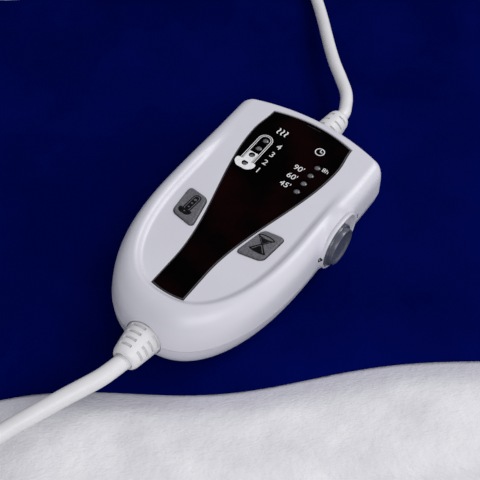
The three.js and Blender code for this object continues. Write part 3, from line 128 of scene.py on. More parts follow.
def grain(material, scale, detail, stretch=(1, 1, 1)):
    """A noise over the surface, from 0 to 1."""
    link = material.node_tree.links.new
    where = new_node(material, "TexCoord")
    mapping = new_node(material, "Mapping", Scale=stretch)
    texture = new_node(material, "TexNoise", Scale=scale, Detail=detail)
    link(where.outputs["Object"], mapping.inputs["Vector"])
    link(mapping.outputs["Vector"], texture.inputs["Vector"])
    return texture.outputs[0]


def tint(material, size, dark, light, start=0.35, end=0.65):
    """Colours the surface between two colours, by a noise of a given size."""
    link = material.node_tree.links.new
    ramp = new_node(material, "ValToRGB")
    for i, (place, color) in enumerate(((start, dark), (end, light))):
        ramp.color_ramp.elements[i].position = place
        ramp.color_ramp.elements[i].color = (*color, 1)
    link(grain(material, *size), ramp.inputs["Fac"])
    link(ramp.outputs["Color"], shader_of(material).inputs["Base Color"])


def gloss(material, size, low, high):
    """Lets the roughness wander between two values."""
    link = material.node_tree.links.new
    spread = new_node(material, "MapRange", From_Min=0.3, From_Max=0.7, To_Min=low, To_Max=high)
    link(grain(material, *size), spread.inputs["Value"])
    link(spread.outputs["Result"], shader_of(material).inputs["Roughness"])


def bump(material, size, strength, distance):
    """Adds a fine relief, on top of one that is there already."""
    link = material.node_tree.links.new
    normal = shader_of(material).inputs["Normal"]
    relief = new_node(material, "Bump", Strength=strength, Distance=distance)
    if normal.links:
        link(normal.links[0].from_socket, relief.inputs["Normal"])
    link(grain(material, *size), relief.inputs["Height"])
    link(relief.outputs["Normal"], normal)


# %% [markdown]
# ## Finishes: plastics
#
# The housing is a cool white moulding with a satin gloss. The leads are a warmer, softer white.
# The window is nearly black and mirror smooth, with a trace of dark red in it. The keys and the
# thumb disc are grey with a fine moulded grain.

# %% Plastic finishes
white_shell = finish(
    "white_shell", (0.63, 0.62, 0.68), 0.37, {"Coat Weight": 0.12, "Coat Roughness": 0.28},
)
tint(white_shell, (60, 2), (0.625, 0.615, 0.678), (0.645, 0.635, 0.69))
gloss(white_shell, (350, 3), 0.33, 0.4)
bump(white_shell, (2600, 2), 0.008, 0.0002)

lead_vinyl = finish("lead_vinyl", (0.73, 0.72, 0.73), 0.42)
tint(lead_vinyl, (90, 3), (0.71, 0.7, 0.71), (0.75, 0.74, 0.75))
gloss(lead_vinyl, (500, 3), 0.36, 0.5)
bump(lead_vinyl, (1500, 3), 0.06, 0.0003)

black_window = finish("black_window", (0.004, 0.002, 0.002), 0.1, {"Specular IOR Level": 0.02})
tint(black_window, (45, 3), (0.0005, 0.0001, 0.0002), (0.006, 0.0005, 0.0009), 0.45, 0.72)
gloss(black_window, (400, 3), 0.08, 0.14)

ground_edge = finish("ground_edge", (0.028, 0.027, 0.03), 0.5)
tint(ground_edge, (1500, 2), (0.02, 0.019, 0.022), (0.04, 0.039, 0.042))

grey_key = finish("grey_key", (0.11, 0.108, 0.12), 0.42, {"Specular IOR Level": 0.3})
tint(grey_key, (1400, 2), (0.088, 0.085, 0.096), (0.148, 0.143, 0.157))
bump(grey_key, (2200, 2), 0.18, 0.0003)

grey_thumb = finish(
    "grey_thumb", (0.08, 0.086, 0.112), 0.3, {"Coat Weight": 0.3, "Coat Roughness": 0.2},
)
tint(grey_thumb, (700, 3), (0.066, 0.072, 0.098), (0.09, 0.096, 0.124))
bump(grey_thumb, (2400, 2), 0.05, 0.0003)

lamp_lens = finish(
    "lamp_lens", (0.12, 0.12, 0.13), 0.2, {"Coat Weight": 0.3, "Coat Roughness": 0.1},
)
tint(lamp_lens, (900, 2), (0.09, 0.09, 0.1), (0.15, 0.15, 0.16))

white_ink = finish("white_ink", (0.8, 0.8, 0.8), 0.5)
tint(white_ink, (1200, 2), (0.7, 0.7, 0.7), (0.84, 0.84, 0.84))
dark_ink = finish("dark_ink", (0.005, 0.005, 0.006), 0.6, {"Specular IOR Level": 0.05})
tint(dark_ink, (900, 2), (0.003, 0.003, 0.004), (0.008, 0.008, 0.009))
print("finishes so far:", len(bpy.data.materials))

# %% [markdown]
# ## Finishes: cloth, metal and what is inside
#
# The cover is brushed plush: a deep navy that turns a little lighter where the nap lies another
# way. The fleece is white with soft clouds and a fine fibre grain. Where it dips under the cover,
# painted shade makes it a bluish grey: an attribute that is written with the pad tells how near
# the cover is. A weak sheen gives both the pale edge of a nap without greying the colour. What is
# inside gets plain finishes, one row of a table each.

# %% Cloth finishes
navy_plush = finish("navy_plush", (0.0002, 0.002, 0.064), 0.95, {
    "Sheen Weight": 0.05, "Sheen Roughness": 0.4, "Sheen Tint": (0.0, 0.03, 0.6, 1),
    "Specular IOR Level": 0.0,
})
tint(navy_plush, (22, 5), (0.0001, 0.0016, 0.054), (0.0003, 0.0024, 0.075), 0.38, 0.64)
bump(navy_plush, (160, 4), 0.25, 0.0012)
bump(navy_plush, (1100, 4, (1, 0.5, 1)), 0.35, 0.0006)

white_fleece = finish("white_fleece", (0.74, 0.73, 0.75), 0.95, {
    "Sheen Weight": 0.35, "Sheen Roughness": 0.5, "Specular IOR Level": 0.1,
})
tint(white_fleece, (60, 6), (0.66, 0.65, 0.68), (0.8, 0.79, 0.81), 0.3, 0.7)
# painted shade: the fleece colour is mixed towards a bluish grey near the cover's edge
nearness = new_node(white_fleece, "Attribute")
nearness.attribute_name = "painted_shade_near_cover"
shade = new_node(white_fleece, "Mix")
shade.data_type = "RGBA"
shade.inputs["B"].default_value = (0.52, 0.51, 0.58, 1)
fleece_links = white_fleece.node_tree.links
fleece_color = shader_of(white_fleece).inputs["Base Color"]
fleece_links.new(fleece_color.links[0].from_socket, shade.inputs["A"])
fleece_links.new(nearness.outputs["Fac"], shade.inputs["Factor"])
fleece_links.new(shade.outputs["Result"], fleece_color)
bump(white_fleece, (260, 5), 0.4, 0.0015)
bump(white_fleece, (1300, 4, (0.5, 1, 1)), 0.5, 0.0006)

strap_web = finish("strap_web", (0.02, 0.02, 0.022), 0.8, {"Sheen Weight": 0.2})
bump(strap_web, (900, 3, (1, 1, 3)), 0.4, 0.0004)
print("cloth finishes:", navy_plush.name, white_fleece.name, strap_web.name)

# %% Metal and inner finishes, and a finish for every slot
plated_steel = finish("plated_steel", (0.55, 0.56, 0.58), 0.28, {"Metallic": 1.0})
gloss(plated_steel, (900, 3, (1, 1, 6)), 0.22, 0.36)
BY_SLOT = {
    "housing": white_shell, "window": black_window, "button": grey_key, "slider": grey_thumb,
    "cord": lead_vinyl, "lamp": lamp_lens, "steel": plated_steel, "fleece": white_fleece,
    "cover": navy_plush,
}
# slot, name, colour, roughness, size of the grain, dark, light
INNER_FINISHES = (
    ("felt", "felt", (0.7, 0.65, 0.55), 0.95,
     (500, 4), (0.6, 0.55, 0.45), (0.74, 0.69, 0.6)),
    ("board", "green_board", (0.03, 0.11, 0.05), 0.45,
     (300, 3), (0.02, 0.085, 0.035), (0.04, 0.13, 0.06)),
    ("dark_plastic", "black_plastic", (0.02, 0.02, 0.022), 0.5,
     (800, 3), (0.015, 0.015, 0.017), (0.028, 0.028, 0.03)),
    ("pale_plastic", "cream_plastic", (0.6, 0.56, 0.45), 0.5,
     (600, 3), (0.55, 0.51, 0.4), (0.64, 0.6, 0.49)),
    ("red_plastic", "red_plastic", (0.55, 0.1, 0.07), 0.5,
     (600, 3), (0.48, 0.08, 0.055), (0.6, 0.12, 0.085)),
)
for slot, name, color, roughness, *tones in INNER_FINISHES:
    BY_SLOT[slot] = finish(name, color, roughness)
    tint(BY_SLOT[slot], *tones)
for entry in frame["record"]["subparts"]:
    node_mesh = nodes[entry["node"]].data
    node_mesh.materials.clear()
    node_mesh.materials.append(BY_SLOT[entry["material_slot"]])
print("finishes in all:", len(bpy.data.materials))

# %% [markdown]
# ## The two leads
#
# A lead is one smooth curve with a round section. The mains lead leaves the tail of the
# controller, sinks over the pad's fleece margin to the floor, and the rest of its 1.77 m is
# wound in two layers and tied. The pad lead leaves the head, crosses the cover and runs round
# behind the pad into its gland. The rows follow the routes of the CAD solids.

# %% Frames of the pad and the controller
CONTROLLER_PLACE = (10, -54, 10.9)
CONTROLLER_TURN = radians(-42.9)
IN_PAD = Matrix.Scale(MM, 4)
controller_frame = Matrix.Translation([MM * value for value in CONTROLLER_PLACE])
controller_frame @= Matrix.Rotation(CONTROLLER_TURN, 4, "Z")
IN_CONTROLLER = controller_frame @ Matrix.Scale(MM, 4)
# height of the seam, room between pieces, and where the leads leave the reliefs
SEAM = 12.5
GAP = 0.3
TAIL_EXIT = -72.55
HEAD_EXIT = 77.05


def on_controller(x, y, z):
    """A point of the controller, in its own millimetres, in the pad's millimetres."""
    return IN_CONTROLLER @ Vector((x, y, z)) / MM


mains_exit = on_controller(0, TAIL_EXIT, SEAM)
pad_exit = on_controller(0, HEAD_EXIT, SEAM)
print("the leads leave the controller", round((pad_exit - mains_exit).length, 1), "mm apart")

# %% Route of the mains lead
MAINS_DIAMETER = 6.4
# share of the way to the coil, distance to the left, height of the lead's underside
MAINS_ROUTE = (
    (0.022, 0.5, 20.2), (0.06, 0.9, 19.8), (0.102, 0.4, 19.1), (0.144, -0.4, 18.1),
    (0.184, -1.1, 17), (0.224, -1.9, 15.7), (0.269, -2.8, 14.2), (0.313, -3.5, 12.6),
    (0.4, -4.4, 9.6), (0.5, -5.2, 6.8), (0.6, -5.7, 5.5), (0.7, -6, 5.5), (0.795, -5.7, 4.9),
    (0.885, -4.3, 2.9),
)
COIL_MIDDLE = Vector((-150, -226, 0))
COIL_INNER = 26.4
COIL_PITCH = 7.1
COIL_START = radians(131)
COIL_TURNS = 6.47
COIL_STEPS = 24
COIL_LOW = 4.4
COIL_LEAD_IN = 9
PLUG_LEAD = 58
PLUG_HEIGHT = 7.0
PLUG_STRAIGHT = 8
INTO_TAIL, INTO_PLUG = 2, 1.5


def beyond(start, end, by):
    return end + (end - start).normalized() * by


def smoothstep(value, low, high):
    share = min(max((value - low) / (high - low), 0), 1)
    return share * share * (3 - 2 * share)


def coil_points():
    count = round(COIL_TURNS * COIL_STEPS)
    points = []
    for i in range(count + 1):
        turns = COIL_TURNS * i / count
        radius = COIL_INNER + COIL_PITCH * abs(turns - COIL_TURNS / 2)
        climb = smoothstep(turns, COIL_TURNS / 2 - 0.25, COIL_TURNS / 2 + 0.25)
        turn = COIL_START + 2 * pi * turns
        height = COIL_LOW + COIL_PITCH * climb
        points.append(COIL_MIDDLE + Vector((radius * cos(turn), radius * sin(turn), height)))
    first = beyond(points[1], points[0], MAINS_DIAMETER)
    last = beyond(points[-2], points[-1], MAINS_DIAMETER)
    return [first, *points, last]


coil = coil_points()
mains_lead_in = beyond(coil[1], coil[0], COIL_LEAD_IN)
way = mains_lead_in - mains_exit
left_of_way = Vector((-way.y, way.x, 0)).normalized()
over_pad = []
for share, aside, under in MAINS_ROUTE:
    point = mains_exit + way * share + left_of_way * aside
    over_pad.append(Vector((point.x, point.y, under + MAINS_DIAMETER / 2)))
mains_points = [beyond(over_pad[0], mains_exit, INTO_TAIL), *over_pad, mains_lead_in, *coil]
plug_way = (coil[-1] - coil[-2]) * Vector((1, 1, 0))
plug_way.normalize()
leave = beyond(coil[-2], coil[-1], GAP)
plug_back = leave + plug_way * PLUG_LEAD
plug_back.z = PLUG_HEIGHT
mains_points += [leave + plug_way * PLUG_STRAIGHT, leave.lerp(plug_back, 0.5)]
mains_points += [plug_back - plug_way * PLUG_STRAIGHT, plug_back + plug_way * INTO_PLUG]
print("points on the mains lead:", len(mains_points))

# %% Route of the pad lead
PAD_LEAD_DIAMETER = 5.3
COVER_HALF_X, COVER_HALF_Y = 155, 115
PAD_HALF_X, PAD_HALF_Y = 200, 160
# distance to the right of the exit, share of the way to the cover's rear, height of the underside
PAD_LEAD_ON_COVER = (
    (3.5, 0.053, 20.3), (5.7, 0.126, 19.6), (5.7, 0.211, 19), (5.1, 0.314, 18.4),
    (5.3, 0.399, 17.6), (6.1, 0.511, 16), (7.1, 0.636, 14), (7.6, 0.76, 12.2), (7.4, 0.885, 11.2),
)
# x, distance behind the pad, height of the underside
PAD_LEAD_BEHIND = (
    (68.6, -46, 9.9), (66.4, -33, 7.3), (63, -20, 5.8), (57.6, -7, 5.7), (49.6, 6, 3.9),
    (39, 18, 1.4), (24, 28, 0.4), (6, 34, 0.3), (-14, 36, 0.3), (-34, 33.5, 0.4),
    (-51, 26.5, 1.6), (-62.5, 16, 4.2), (-68.4, 3.5, 6.9),
)
GLAND_X = -70
GLAND_HEIGHT = 10.8
INTO_HEAD, OUT_OF_HEAD = 1.5, 2.7
INTO_GLAND, OUT_OF_GLAND, SAG = 1.5, 8, 0.3
gland_low, gland_high = (corner / MM for corner in map(Vector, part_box("pad_gland")))
pad_points = [on_controller(0, HEAD_EXIT + by, SEAM) for by in (-INTO_HEAD, OUT_OF_HEAD)]
for right, share, under in PAD_LEAD_ON_COVER:
    y = pad_exit.y + (COVER_HALF_Y - pad_exit.y) * share
    pad_points.append(Vector((pad_exit.x + right, y, under + PAD_LEAD_DIAMETER / 2)))
for x, back, under in PAD_LEAD_BEHIND:
    pad_points.append(Vector((x, PAD_HALF_Y + back, under + PAD_LEAD_DIAMETER / 2)))
pad_points.append(Vector((GLAND_X, gland_high.y + OUT_OF_GLAND, GLAND_HEIGHT - SAG)))
pad_points.append(Vector((GLAND_X, gland_high.y - INTO_GLAND, GLAND_HEIGHT)))
print("points on the pad lead:", len(pad_points))

# %% Lay the leads
def lay_lead(name, points, diameter):
    data = bpy.data.curves.new(name, "CURVE")
    data.dimensions = "3D"
    data.bevel_depth = diameter / 2 * MM
    data.bevel_resolution = 6
    data.resolution_u = 5
    data.use_fill_caps = True
    spline = data.splines.new("BEZIER")
    spline.bezier_points.add(len(points) - 1)
    for knot, point in zip(spline.bezier_points, points):
        knot.co = point * MM
        knot.handle_left_type = knot.handle_right_type = "AUTO"
    lead = add_object(name, data)
    data.materials.append(lead_vinyl)
    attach(lead, BASE)
    return lead


mains_lead = lay_lead("mains_lead", mains_points, MAINS_DIAMETER)
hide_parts("mains_cord", "mains_coil", "mains_cord_end")
pad_lead = lay_lead("pad_lead", pad_points, PAD_LEAD_DIAMETER)
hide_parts("pad_cord")
print("laid:", mains_lead.name, "and", pad_lead.name)

# %% [markdown]
# ## Shaping helpers
#
# Pieces are shaped in millimetres, in the frame that suits them, with Blender's mesh operators. A
# loft starts from a circle whose points are moved to the first ring, and each next ring is its
# edge pushed on. The last step turns the mesh into metres in the shared frame, so the object
# itself stays at the origin.

# %% Lofts and turned forms
def shift(form, x, y, z):
    bmesh.ops.translate(form, vec=(x, y, z), verts=form.verts)


def swing(form, angle, axis):
    turn = Matrix.Rotation(angle, 3, axis)
    bmesh.ops.rotate(form, cent=(0, 0, 0), matrix=turn, verts=form.verts)


def only(kind, items):
    return [item for item in items if isinstance(item, kind)]


def outward(form):
    """The form with all its faces turned outwards."""
    bmesh.ops.recalc_face_normals(form, faces=form.faces)
    return form


def loft(rings):
    """A closed form through rings of points, with flat ends."""
    form = bmesh.new()
    bmesh.ops.create_circle(form, segments=len(rings[0]), radius=1)
    form.verts.ensure_lookup_table()
    loop = list(form.verts)
    for vert, place in zip(loop, rings[0]):
        vert.co = place
    first = edges = list(form.edges)
    for ring in rings[1:]:
        old = {vert: i for i, vert in enumerate(loop)}
        made = bmesh.ops.extrude_edge_only(form, edges=edges)["geom"]
        fresh = set(only(bmesh.types.BMVert, made))
        following = [None] * len(loop)
        for vert in fresh:
            source = next(e.other_vert(vert) for e in vert.link_edges if e.other_vert(vert) in old)
            following[old[source]] = vert
        loop = following
        edges = [edge for edge in only(bmesh.types.BMEdge, made) if set(edge.verts) <= fresh]
        for vert, place in zip(loop, ring):
            vert.co = place
    bmesh.ops.contextual_create(form, geom=first)
    bmesh.ops.contextual_create(form, geom=edges)
    return outward(form)


def turned(profile, steps):
    """A round form about Y, from rows of radius and place along the axis that start and end on it."""
    form = bmesh.new()
    chain = [form.verts.new((radius, along, 0)) for radius, along in profile]
    edges = [form.edges.new(pair) for pair in zip(chain, chain[1:])]
    bmesh.ops.spin(
        form, geom=chain + edges, cent=(0, 0, 0), axis=(0, 1, 0), angle=2 * pi, steps=steps,
        use_merge=True,
    )
    bmesh.ops.remove_doubles(form, verts=form.verts, dist=1e-4)
    return outward(form)


# %% Blocks, bars and plates
def about(middle, half):
    return middle - half, middle + half


def block(*spans):
    """A box from its spans along X, Y and Z."""
    form = bmesh.new()
    bmesh.ops.create_cube(form, size=1)
    bmesh.ops.scale(form, vec=[high - low for low, high in spans], verts=form.verts)
    shift(form, *[(low + high) / 2 for low, high in spans])
    return form


def rod(radius, length, sides):
    form = bmesh.new()
    bmesh.ops.create_cone(
        form, cap_ends=True, segments=sides, radius1=radius, radius2=radius, depth=length,
    )
    return form


def post(x, y, radius, low, high, sides=32):
    """A round bar that stands up."""
    form = rod(radius, high - low, sides)
    shift(form, x, y, (low + high) / 2)
    return form


def bar(z, radius, front, back, sides=48):
    """A round bar that lies along Y."""
    form = rod(radius, back - front, sides)
    swing(form, pi / 2, "X")
    shift(form, 0, (front + back) / 2, z)
    return form


def rectangle(x, y):
    return (x[0], y[0]), (x[1], y[0]), (x[1], y[1]), (x[0], y[1])


def lies_at(item, height):
    return all(abs(vert.co.z - height) < 1e-5 for vert in item.verts)


def round_over(form, height, radius):
    """Rounds the edges that lie at a height."""
    rim = [edge for edge in form.edges if lies_at(edge, height)]
    bmesh.ops.bevel(
        form, geom=rim, offset=radius, segments=4, profile=0.5, affect="EDGES", material=-1,
    )


def plate(corners, radius, low, high, edge=0.0, segments=5):
    """A flat plate on rounded corners, with its upper edge rounded over if asked."""
    form = bmesh.new()
    points = [form.verts.new((x, y, low)) for x, y in corners]
    bmesh.ops.contextual_create(form, geom=points)
    if radius:
        bmesh.ops.bevel(
            form, geom=points, offset=radius, segments=segments, profile=0.5, affect="VERTICES",
            material=-1,
        )
    made = bmesh.ops.extrude_face_region(form, geom=list(form.faces))["geom"]
    lifted = only(bmesh.types.BMVert, made)
    bmesh.ops.translate(form, vec=(0, 0, high - low), verts=lifted)
    outward(form)
    if edge:
        round_over(form, high, edge)
        top = [face for face in form.faces if lies_at(face, high)]
        bmesh.ops.inset_region(form, faces=top, thickness=0.1)
    return form


# %% Joining, cutting and finishing a piece
def mesh_of(name, form):
    mesh = bpy.data.meshes.new(name)
    form.to_mesh(mesh)
    form.free()
    return mesh


def rough_object(form):
    """A form as an object for the Boolean modifier."""
    return add_object("rough", mesh_of("rough", form))


def combine(form, others, operation):
    """The form cut by the others, or joined with them."""
    base = rough_object(form)
    tools = [rough_object(other) for other in others]
    for tool in tools:
        step = base.modifiers.new("combine", "BOOLEAN")
        step.operation = operation
        step.solver = "EXACT"
        step.object = tool
    result = bmesh.new()
    result.from_object(base, bpy.context.evaluated_depsgraph_get())
    for rough in [base, *tools]:
        mesh = rough.data
        bpy.data.objects.remove(rough)
        bpy.data.meshes.remove(mesh)
    bmesh.ops.remove_doubles(result, verts=result.verts, dist=1e-4)
    return result


def cut(form, tools):
    return combine(form, tools, "DIFFERENCE")


def join(form, others):
    return combine(form, others, "UNION")


def make_piece(name, node, form, material, place=IN_CONTROLLER, body=BASE, sharp=38):
    """The finished piece: the form put in its place, in metres, on its body, for a CAD node."""
    form.transform(place)
    mesh = mesh_of(name, form)
    mesh.shade_smooth()
    mesh.set_sharp_from_angle(angle=radians(sharp))
    mesh.materials.append(material)
    piece = add_object(name, mesh)
    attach(piece, body)
    if node:
        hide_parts(node)
    print(name, "has", len(mesh.polygons), "faces")
    return piece


# %% [markdown]
# ## The housing
#
# The controller's outline is an oval tail, straight sides and a bowed head. Its skin is a loft of
# that outline, drawn in and lifted row by row: up the wall, over the rolled rim and down to the
# sunk panel. The rim is full round the tail and fades towards the head. The rows are those of the
# CAD shell, with two more between each pair for a smooth gloss. On the right the wall swells out
# round the thumb disc, softly at both ends and steeply under the rim, up to a crisp lip.

# %% Outline and rows of the housing
HALF_WIDTH = 33.7
HEAD_END = 60.25
TAIL_END = -60.25
TAIL_LENGTH = 63
TAIL_POWER = 2.4
HEAD_RADIUS = 84
HEAD_CORNER = 6
PANEL = 25.5
PANEL_UNDERSIDE = 22.7
RIM_RISE = 1.8
RIM_GONE = HEAD_END - 22.5
RIM_FULL = HEAD_END - 52.5
WALL = 2
SEAM_TOP, SEAM_LOW = SEAM + GAP / 2, SEAM - GAP / 2
# share of the wall's height, share of the rim, and how far the side, tail and head are drawn in
UPPER_ROWS = (
    (0, 0, 0, 0, 0), (0.4, 0.1, 0.25, 0.9, 0.15), (0.66, 0.3, 0.7, 2.5, 0.4),
    (0.82, 0.5, 1.6, 4.4, 0.8), (0.91, 0.7, 2.6, 6.2, 1.4), (0.965, 0.86, 3.7, 8, 2.1),
    (0.99, 0.96, 4.7, 9.6, 2.6), (1, 1, 5.6, 10.7, 3), (1, 0.8, 6.7, 11.7, 3.3),
    (1, 0.3, 7.8, 12.6, 3.6), (1, 0, 8.9, 13.4, 3.9),
)
LOWER_ROWS = (
    (0, 7.5, 7.5, 5.5), (0.1, 4.6, 4.6, 3.0), (0.28, 2.5, 2.0, 1.3), (0.6, 1.0, 0.4, 0.4),
    (1, 0, 0, 0),
)
TAIL_STEPS, SIDE_STEPS, CORNER_STEPS, HEAD_STEPS = 60, 40, 8, 12


def outline(side, tail, head):
    """Plan of the housing drawn in by three distances, counter-clockwise from the tail's tip."""
    half = HALF_WIDTH - side
    tail_top = TAIL_END + TAIL_LENGTH
    corner = max(HEAD_CORNER - (side + head) / 2, 1)
    arc = HEAD_END - head - HEAD_RADIUS
    corner_x = half - corner
    corner_y = arc + sqrt((HEAD_RADIUS - corner) ** 2 - corner_x ** 2)
    corner_turn = atan2(corner_y - arc, corner_x)
    right = []
    for i in range(TAIL_STEPS + 1):
        turn = pi / 2 * i / TAIL_STEPS
        back = max(cos(turn), 0) ** (2 / TAIL_POWER) if i < TAIL_STEPS else 0
        right.append((half * sin(turn) ** (2 / TAIL_POWER), tail_top - (TAIL_LENGTH - tail) * back))
    for i in range(1, SIDE_STEPS):
        right.append((half, tail_top + (corner_y - tail_top) * i / SIDE_STEPS))
    for i in range(CORNER_STEPS):
        turn = corner_turn * i / CORNER_STEPS
        right.append((corner_x + corner * cos(turn), corner_y + corner * sin(turn)))
    for i in range(HEAD_STEPS + 1):
        turn = corner_turn + (pi / 2 - corner_turn) * i / HEAD_STEPS
        right.append((HEAD_RADIUS * cos(turn), arc + HEAD_RADIUS * sin(turn)))
    return right + [(-x, y) for x, y in reversed(right[1:-1])]


def finer(rows, parts=3):
    """Rows with smooth in-between rows."""
    result = []
    for i in range(len(rows) - 1):
        near = [rows[max(i - 1, 0)], rows[i], rows[i + 1], rows[min(i + 2, len(rows) - 1)]]
        for k in range(parts):
            t = k / parts
            weights = (
                -0.5 * t + t * t - 0.5 * t ** 3,
                1 - 2.5 * t * t + 1.5 * t ** 3,
                0.5 * t + 2 * t * t - 1.5 * t ** 3,
                -0.5 * t * t + 0.5 * t ** 3,
            )
            result.append([sum(w * v for w, v in zip(weights, column)) for column in zip(*near)])
    return result + [rows[-1]]


def upper_height(wall, rim, y):
    full = 1 - smoothstep(y, RIM_FULL, RIM_GONE)
    return SEAM_TOP + (PANEL - SEAM_TOP) * wall + RIM_RISE * rim * full


print("points on the outline:", len(outline(0, 0, 0)), "rows:", len(finer(UPPER_ROWS)))

# %% Swelling round the thumb disc
SLIDER_Y = HEAD_END - 45
SLIDER_Z = 16
SLIDER_TRAVEL = 4.2
SLOT_MIDDLE = SLIDER_Y + SLIDER_TRAVEL / 2
COLLAR_RADIUS = 9.9
COLLAR_EDGE = HALF_WIDTH + 1.2


def collar_reach(y, z):
    """How far out the swelling stands at a place of the right wall."""
    along = max(abs(y - SLOT_MIDDLE) - SLIDER_TRAVEL / 2, 0)
    up = z - SLIDER_Z
    away = max(hypot(along, up), 1)
    slope = 0.25 + (6 * (up / away) ** 4 if up > 0 else 1.2 * (up / away) ** 2)
    past = max(away - COLLAR_RADIUS, 0)
    return HALF_WIDTH + 0.4 - slope * past - 0.15 * past * past


def ring(insets, height_at, swelling=0.0, blend=1.2):
    """The outline drawn in and lifted, swollen on the right if asked."""
    points = []
    for x, y in outline(*insets):
        z = height_at(y)
        if swelling and x > 0:
            reach = collar_reach(y, z)
            near = max(blend - abs(reach - x), 0)
            x += swelling * (max(reach, x) + near * near / (4 * blend) - x)
        points.append(Vector((x, y, z)))
    return points


def level(height, *insets, swelling=0.0):
    return ring(insets, lambda _: height, swelling)


print("reach at the middle of the swelling:", round(collar_reach(SLOT_MIDDLE, SLIDER_Z), 2), "mm")

# %% [markdown]
# ## Tools that cut the housing
#
# The window lies in a shallow recess and the keys stand in wells. The thumb disc slides in a long
# recess with a raised collar round it. Each opening is cut with a tool whose mouth is a little
# wider, which leaves the fine broken edge of a moulding.

# %% Outline of the window
WINDOW_TAIL = TAIL_END + 14.8
WINDOW_HEAD = HEAD_END - 8
WINDOW_NECK, WINDOW_WIDE, WINDOW_HEAD_HALF = 6.8, 19.3, 18
FLARE_HEAD = HEAD_END - 20
FLARE_TAIL = HEAD_END - 92
HEAD_BOW, TAIL_BOW = 3, 0.8
WINDOW_TOP = PANEL - 0.1


def window_outline(grow, steps=40, end_steps=14):
    tail, head = WINDOW_TAIL - grow, WINDOW_HEAD + grow
    right = []
    for i in range(steps + 1):
        y = tail + (head - tail) * i / steps
        flare = smoothstep(y, FLARE_TAIL, FLARE_HEAD)
        closing = smoothstep(y, FLARE_HEAD, WINDOW_HEAD)
        half = WINDOW_NECK + (WINDOW_WIDE - WINDOW_NECK) * flare
        right.append((half - (WINDOW_WIDE - WINDOW_HEAD_HALF) * closing + grow, y))
    bows = []
    for (half, y), bow in ((right[-1], HEAD_BOW), (right[0], -TAIL_BOW)):
        side = 1 if bow > 0 else -1
        for i in range(1, end_steps):
            t = i / end_steps
            bows.append((side * half * (1 - 2 * t), y + 4 * t * (1 - t) * bow))
    left = [(-x, y) for x, y in reversed(right)]
    return right + bows[: end_steps - 1] + left + bows[end_steps - 1 :]


def window_loft(rows):
    """A form on the window's outline, from rows of height and growth."""
    return loft([[Vector((x, y, z)) for x, y in window_outline(grow)] for z, grow in rows])


print("window length:", WINDOW_HEAD + HEAD_BOW - WINDOW_TAIL + TAIL_BOW, "mm")

# %% Outlines of the keys and the slider
KEY_CORNERS = ((12.8, 62.7), (9.8, 77), (20, 75), (21.3, 61.5))
KEY_ROUND = 1.8
KEY_ROOM = 0.4
RECESS_FLOOR = HALF_WIDTH - 2
RECESS_RADIUS = 9.35
LIP_RADIUS = 10.4
BOSS_INNER = 28


def middle_of(corners):
    return tuple(sum(values) / len(corners) for values in zip(*corners))


def key_corners(side, grow=0.0):
    corners = [(side * x, HEAD_END - from_head) for x, from_head in KEY_CORNERS]
    mid_x, mid_y = middle_of(corners)
    moved = [(x + copysign(grow, x - mid_x), y + copysign(grow, y - mid_y)) for x, y in corners]
    return moved if side > 0 else moved[::-1]


def long_form(rows, steps=18):
    """A bar along X with long round ends, from rows of x and radius."""
    rings = []
    for x, radius in rows:
        points = []
        for end in (1, -1):
            for i in range(steps + 1):
                turn = pi * i / steps + (0 if end > 0 else pi)
                y = SLOT_MIDDLE + end * SLIDER_TRAVEL / 2 + radius * sin(turn)
                points.append(Vector((x, y, SLIDER_Z + radius * cos(turn))))
        rings.append(points)
    return loft(rings)


def recess_form():
    return long_form((
        (RECESS_FLOOR, RECESS_RADIUS - 0.3), (RECESS_FLOOR + 0.3, RECESS_RADIUS),
        (COLLAR_EDGE - 0.4, RECESS_RADIUS), (COLLAR_EDGE - 0.1, RECESS_RADIUS + 0.12),
        (COLLAR_EDGE + 0.1, RECESS_RADIUS + 0.4), (COLLAR_EDGE + 5, RECESS_RADIUS + 0.4),
    ))


print("middle of the time key:", middle_of(key_corners(1)))

# %% Cuts that both shells share
TAIL_BASE = TAIL_END + 1.8
HEAD_BASE = HEAD_END - 0.5
TAIL_RELIEF = {"long": 13.2, "base": 14.4, "end": 10.2, "neck": 10, "flange": 14, "slots": 4}
HEAD_RELIEF = {"long": 17, "base": 12.4, "end": 8.8, "neck": 8.6, "flange": 12.4, "slots": 4}
PAST_WALL = 9
NECK_SLOT_LONG, NECK_SLOT_TALL = 4.2, 1.8


def shared_cuts():
    """Holes for both reliefs, the recess of the thumb disc and the slot for its neck."""
    slot_y, slot_z = about(SLOT_MIDDLE, NECK_SLOT_LONG), about(SLIDER_Z, NECK_SLOT_TALL)
    return [
        bar(SEAM, TAIL_RELIEF["base"] / 2 + GAP, TAIL_END - PAST_WALL, TAIL_BASE + GAP),
        bar(SEAM, TAIL_RELIEF["neck"] / 2 + GAP, TAIL_END - PAST_WALL, TAIL_BASE + PAST_WALL),
        bar(SEAM, HEAD_RELIEF["base"] / 2 + GAP, HEAD_BASE - GAP, HEAD_END + PAST_WALL),
        bar(SEAM, HEAD_RELIEF["neck"] / 2 + GAP, HEAD_BASE - PAST_WALL, HEAD_END + PAST_WALL),
        recess_form(),
        block((BOSS_INNER - 1, HALF_WIDTH), slot_y, slot_z),
    ]


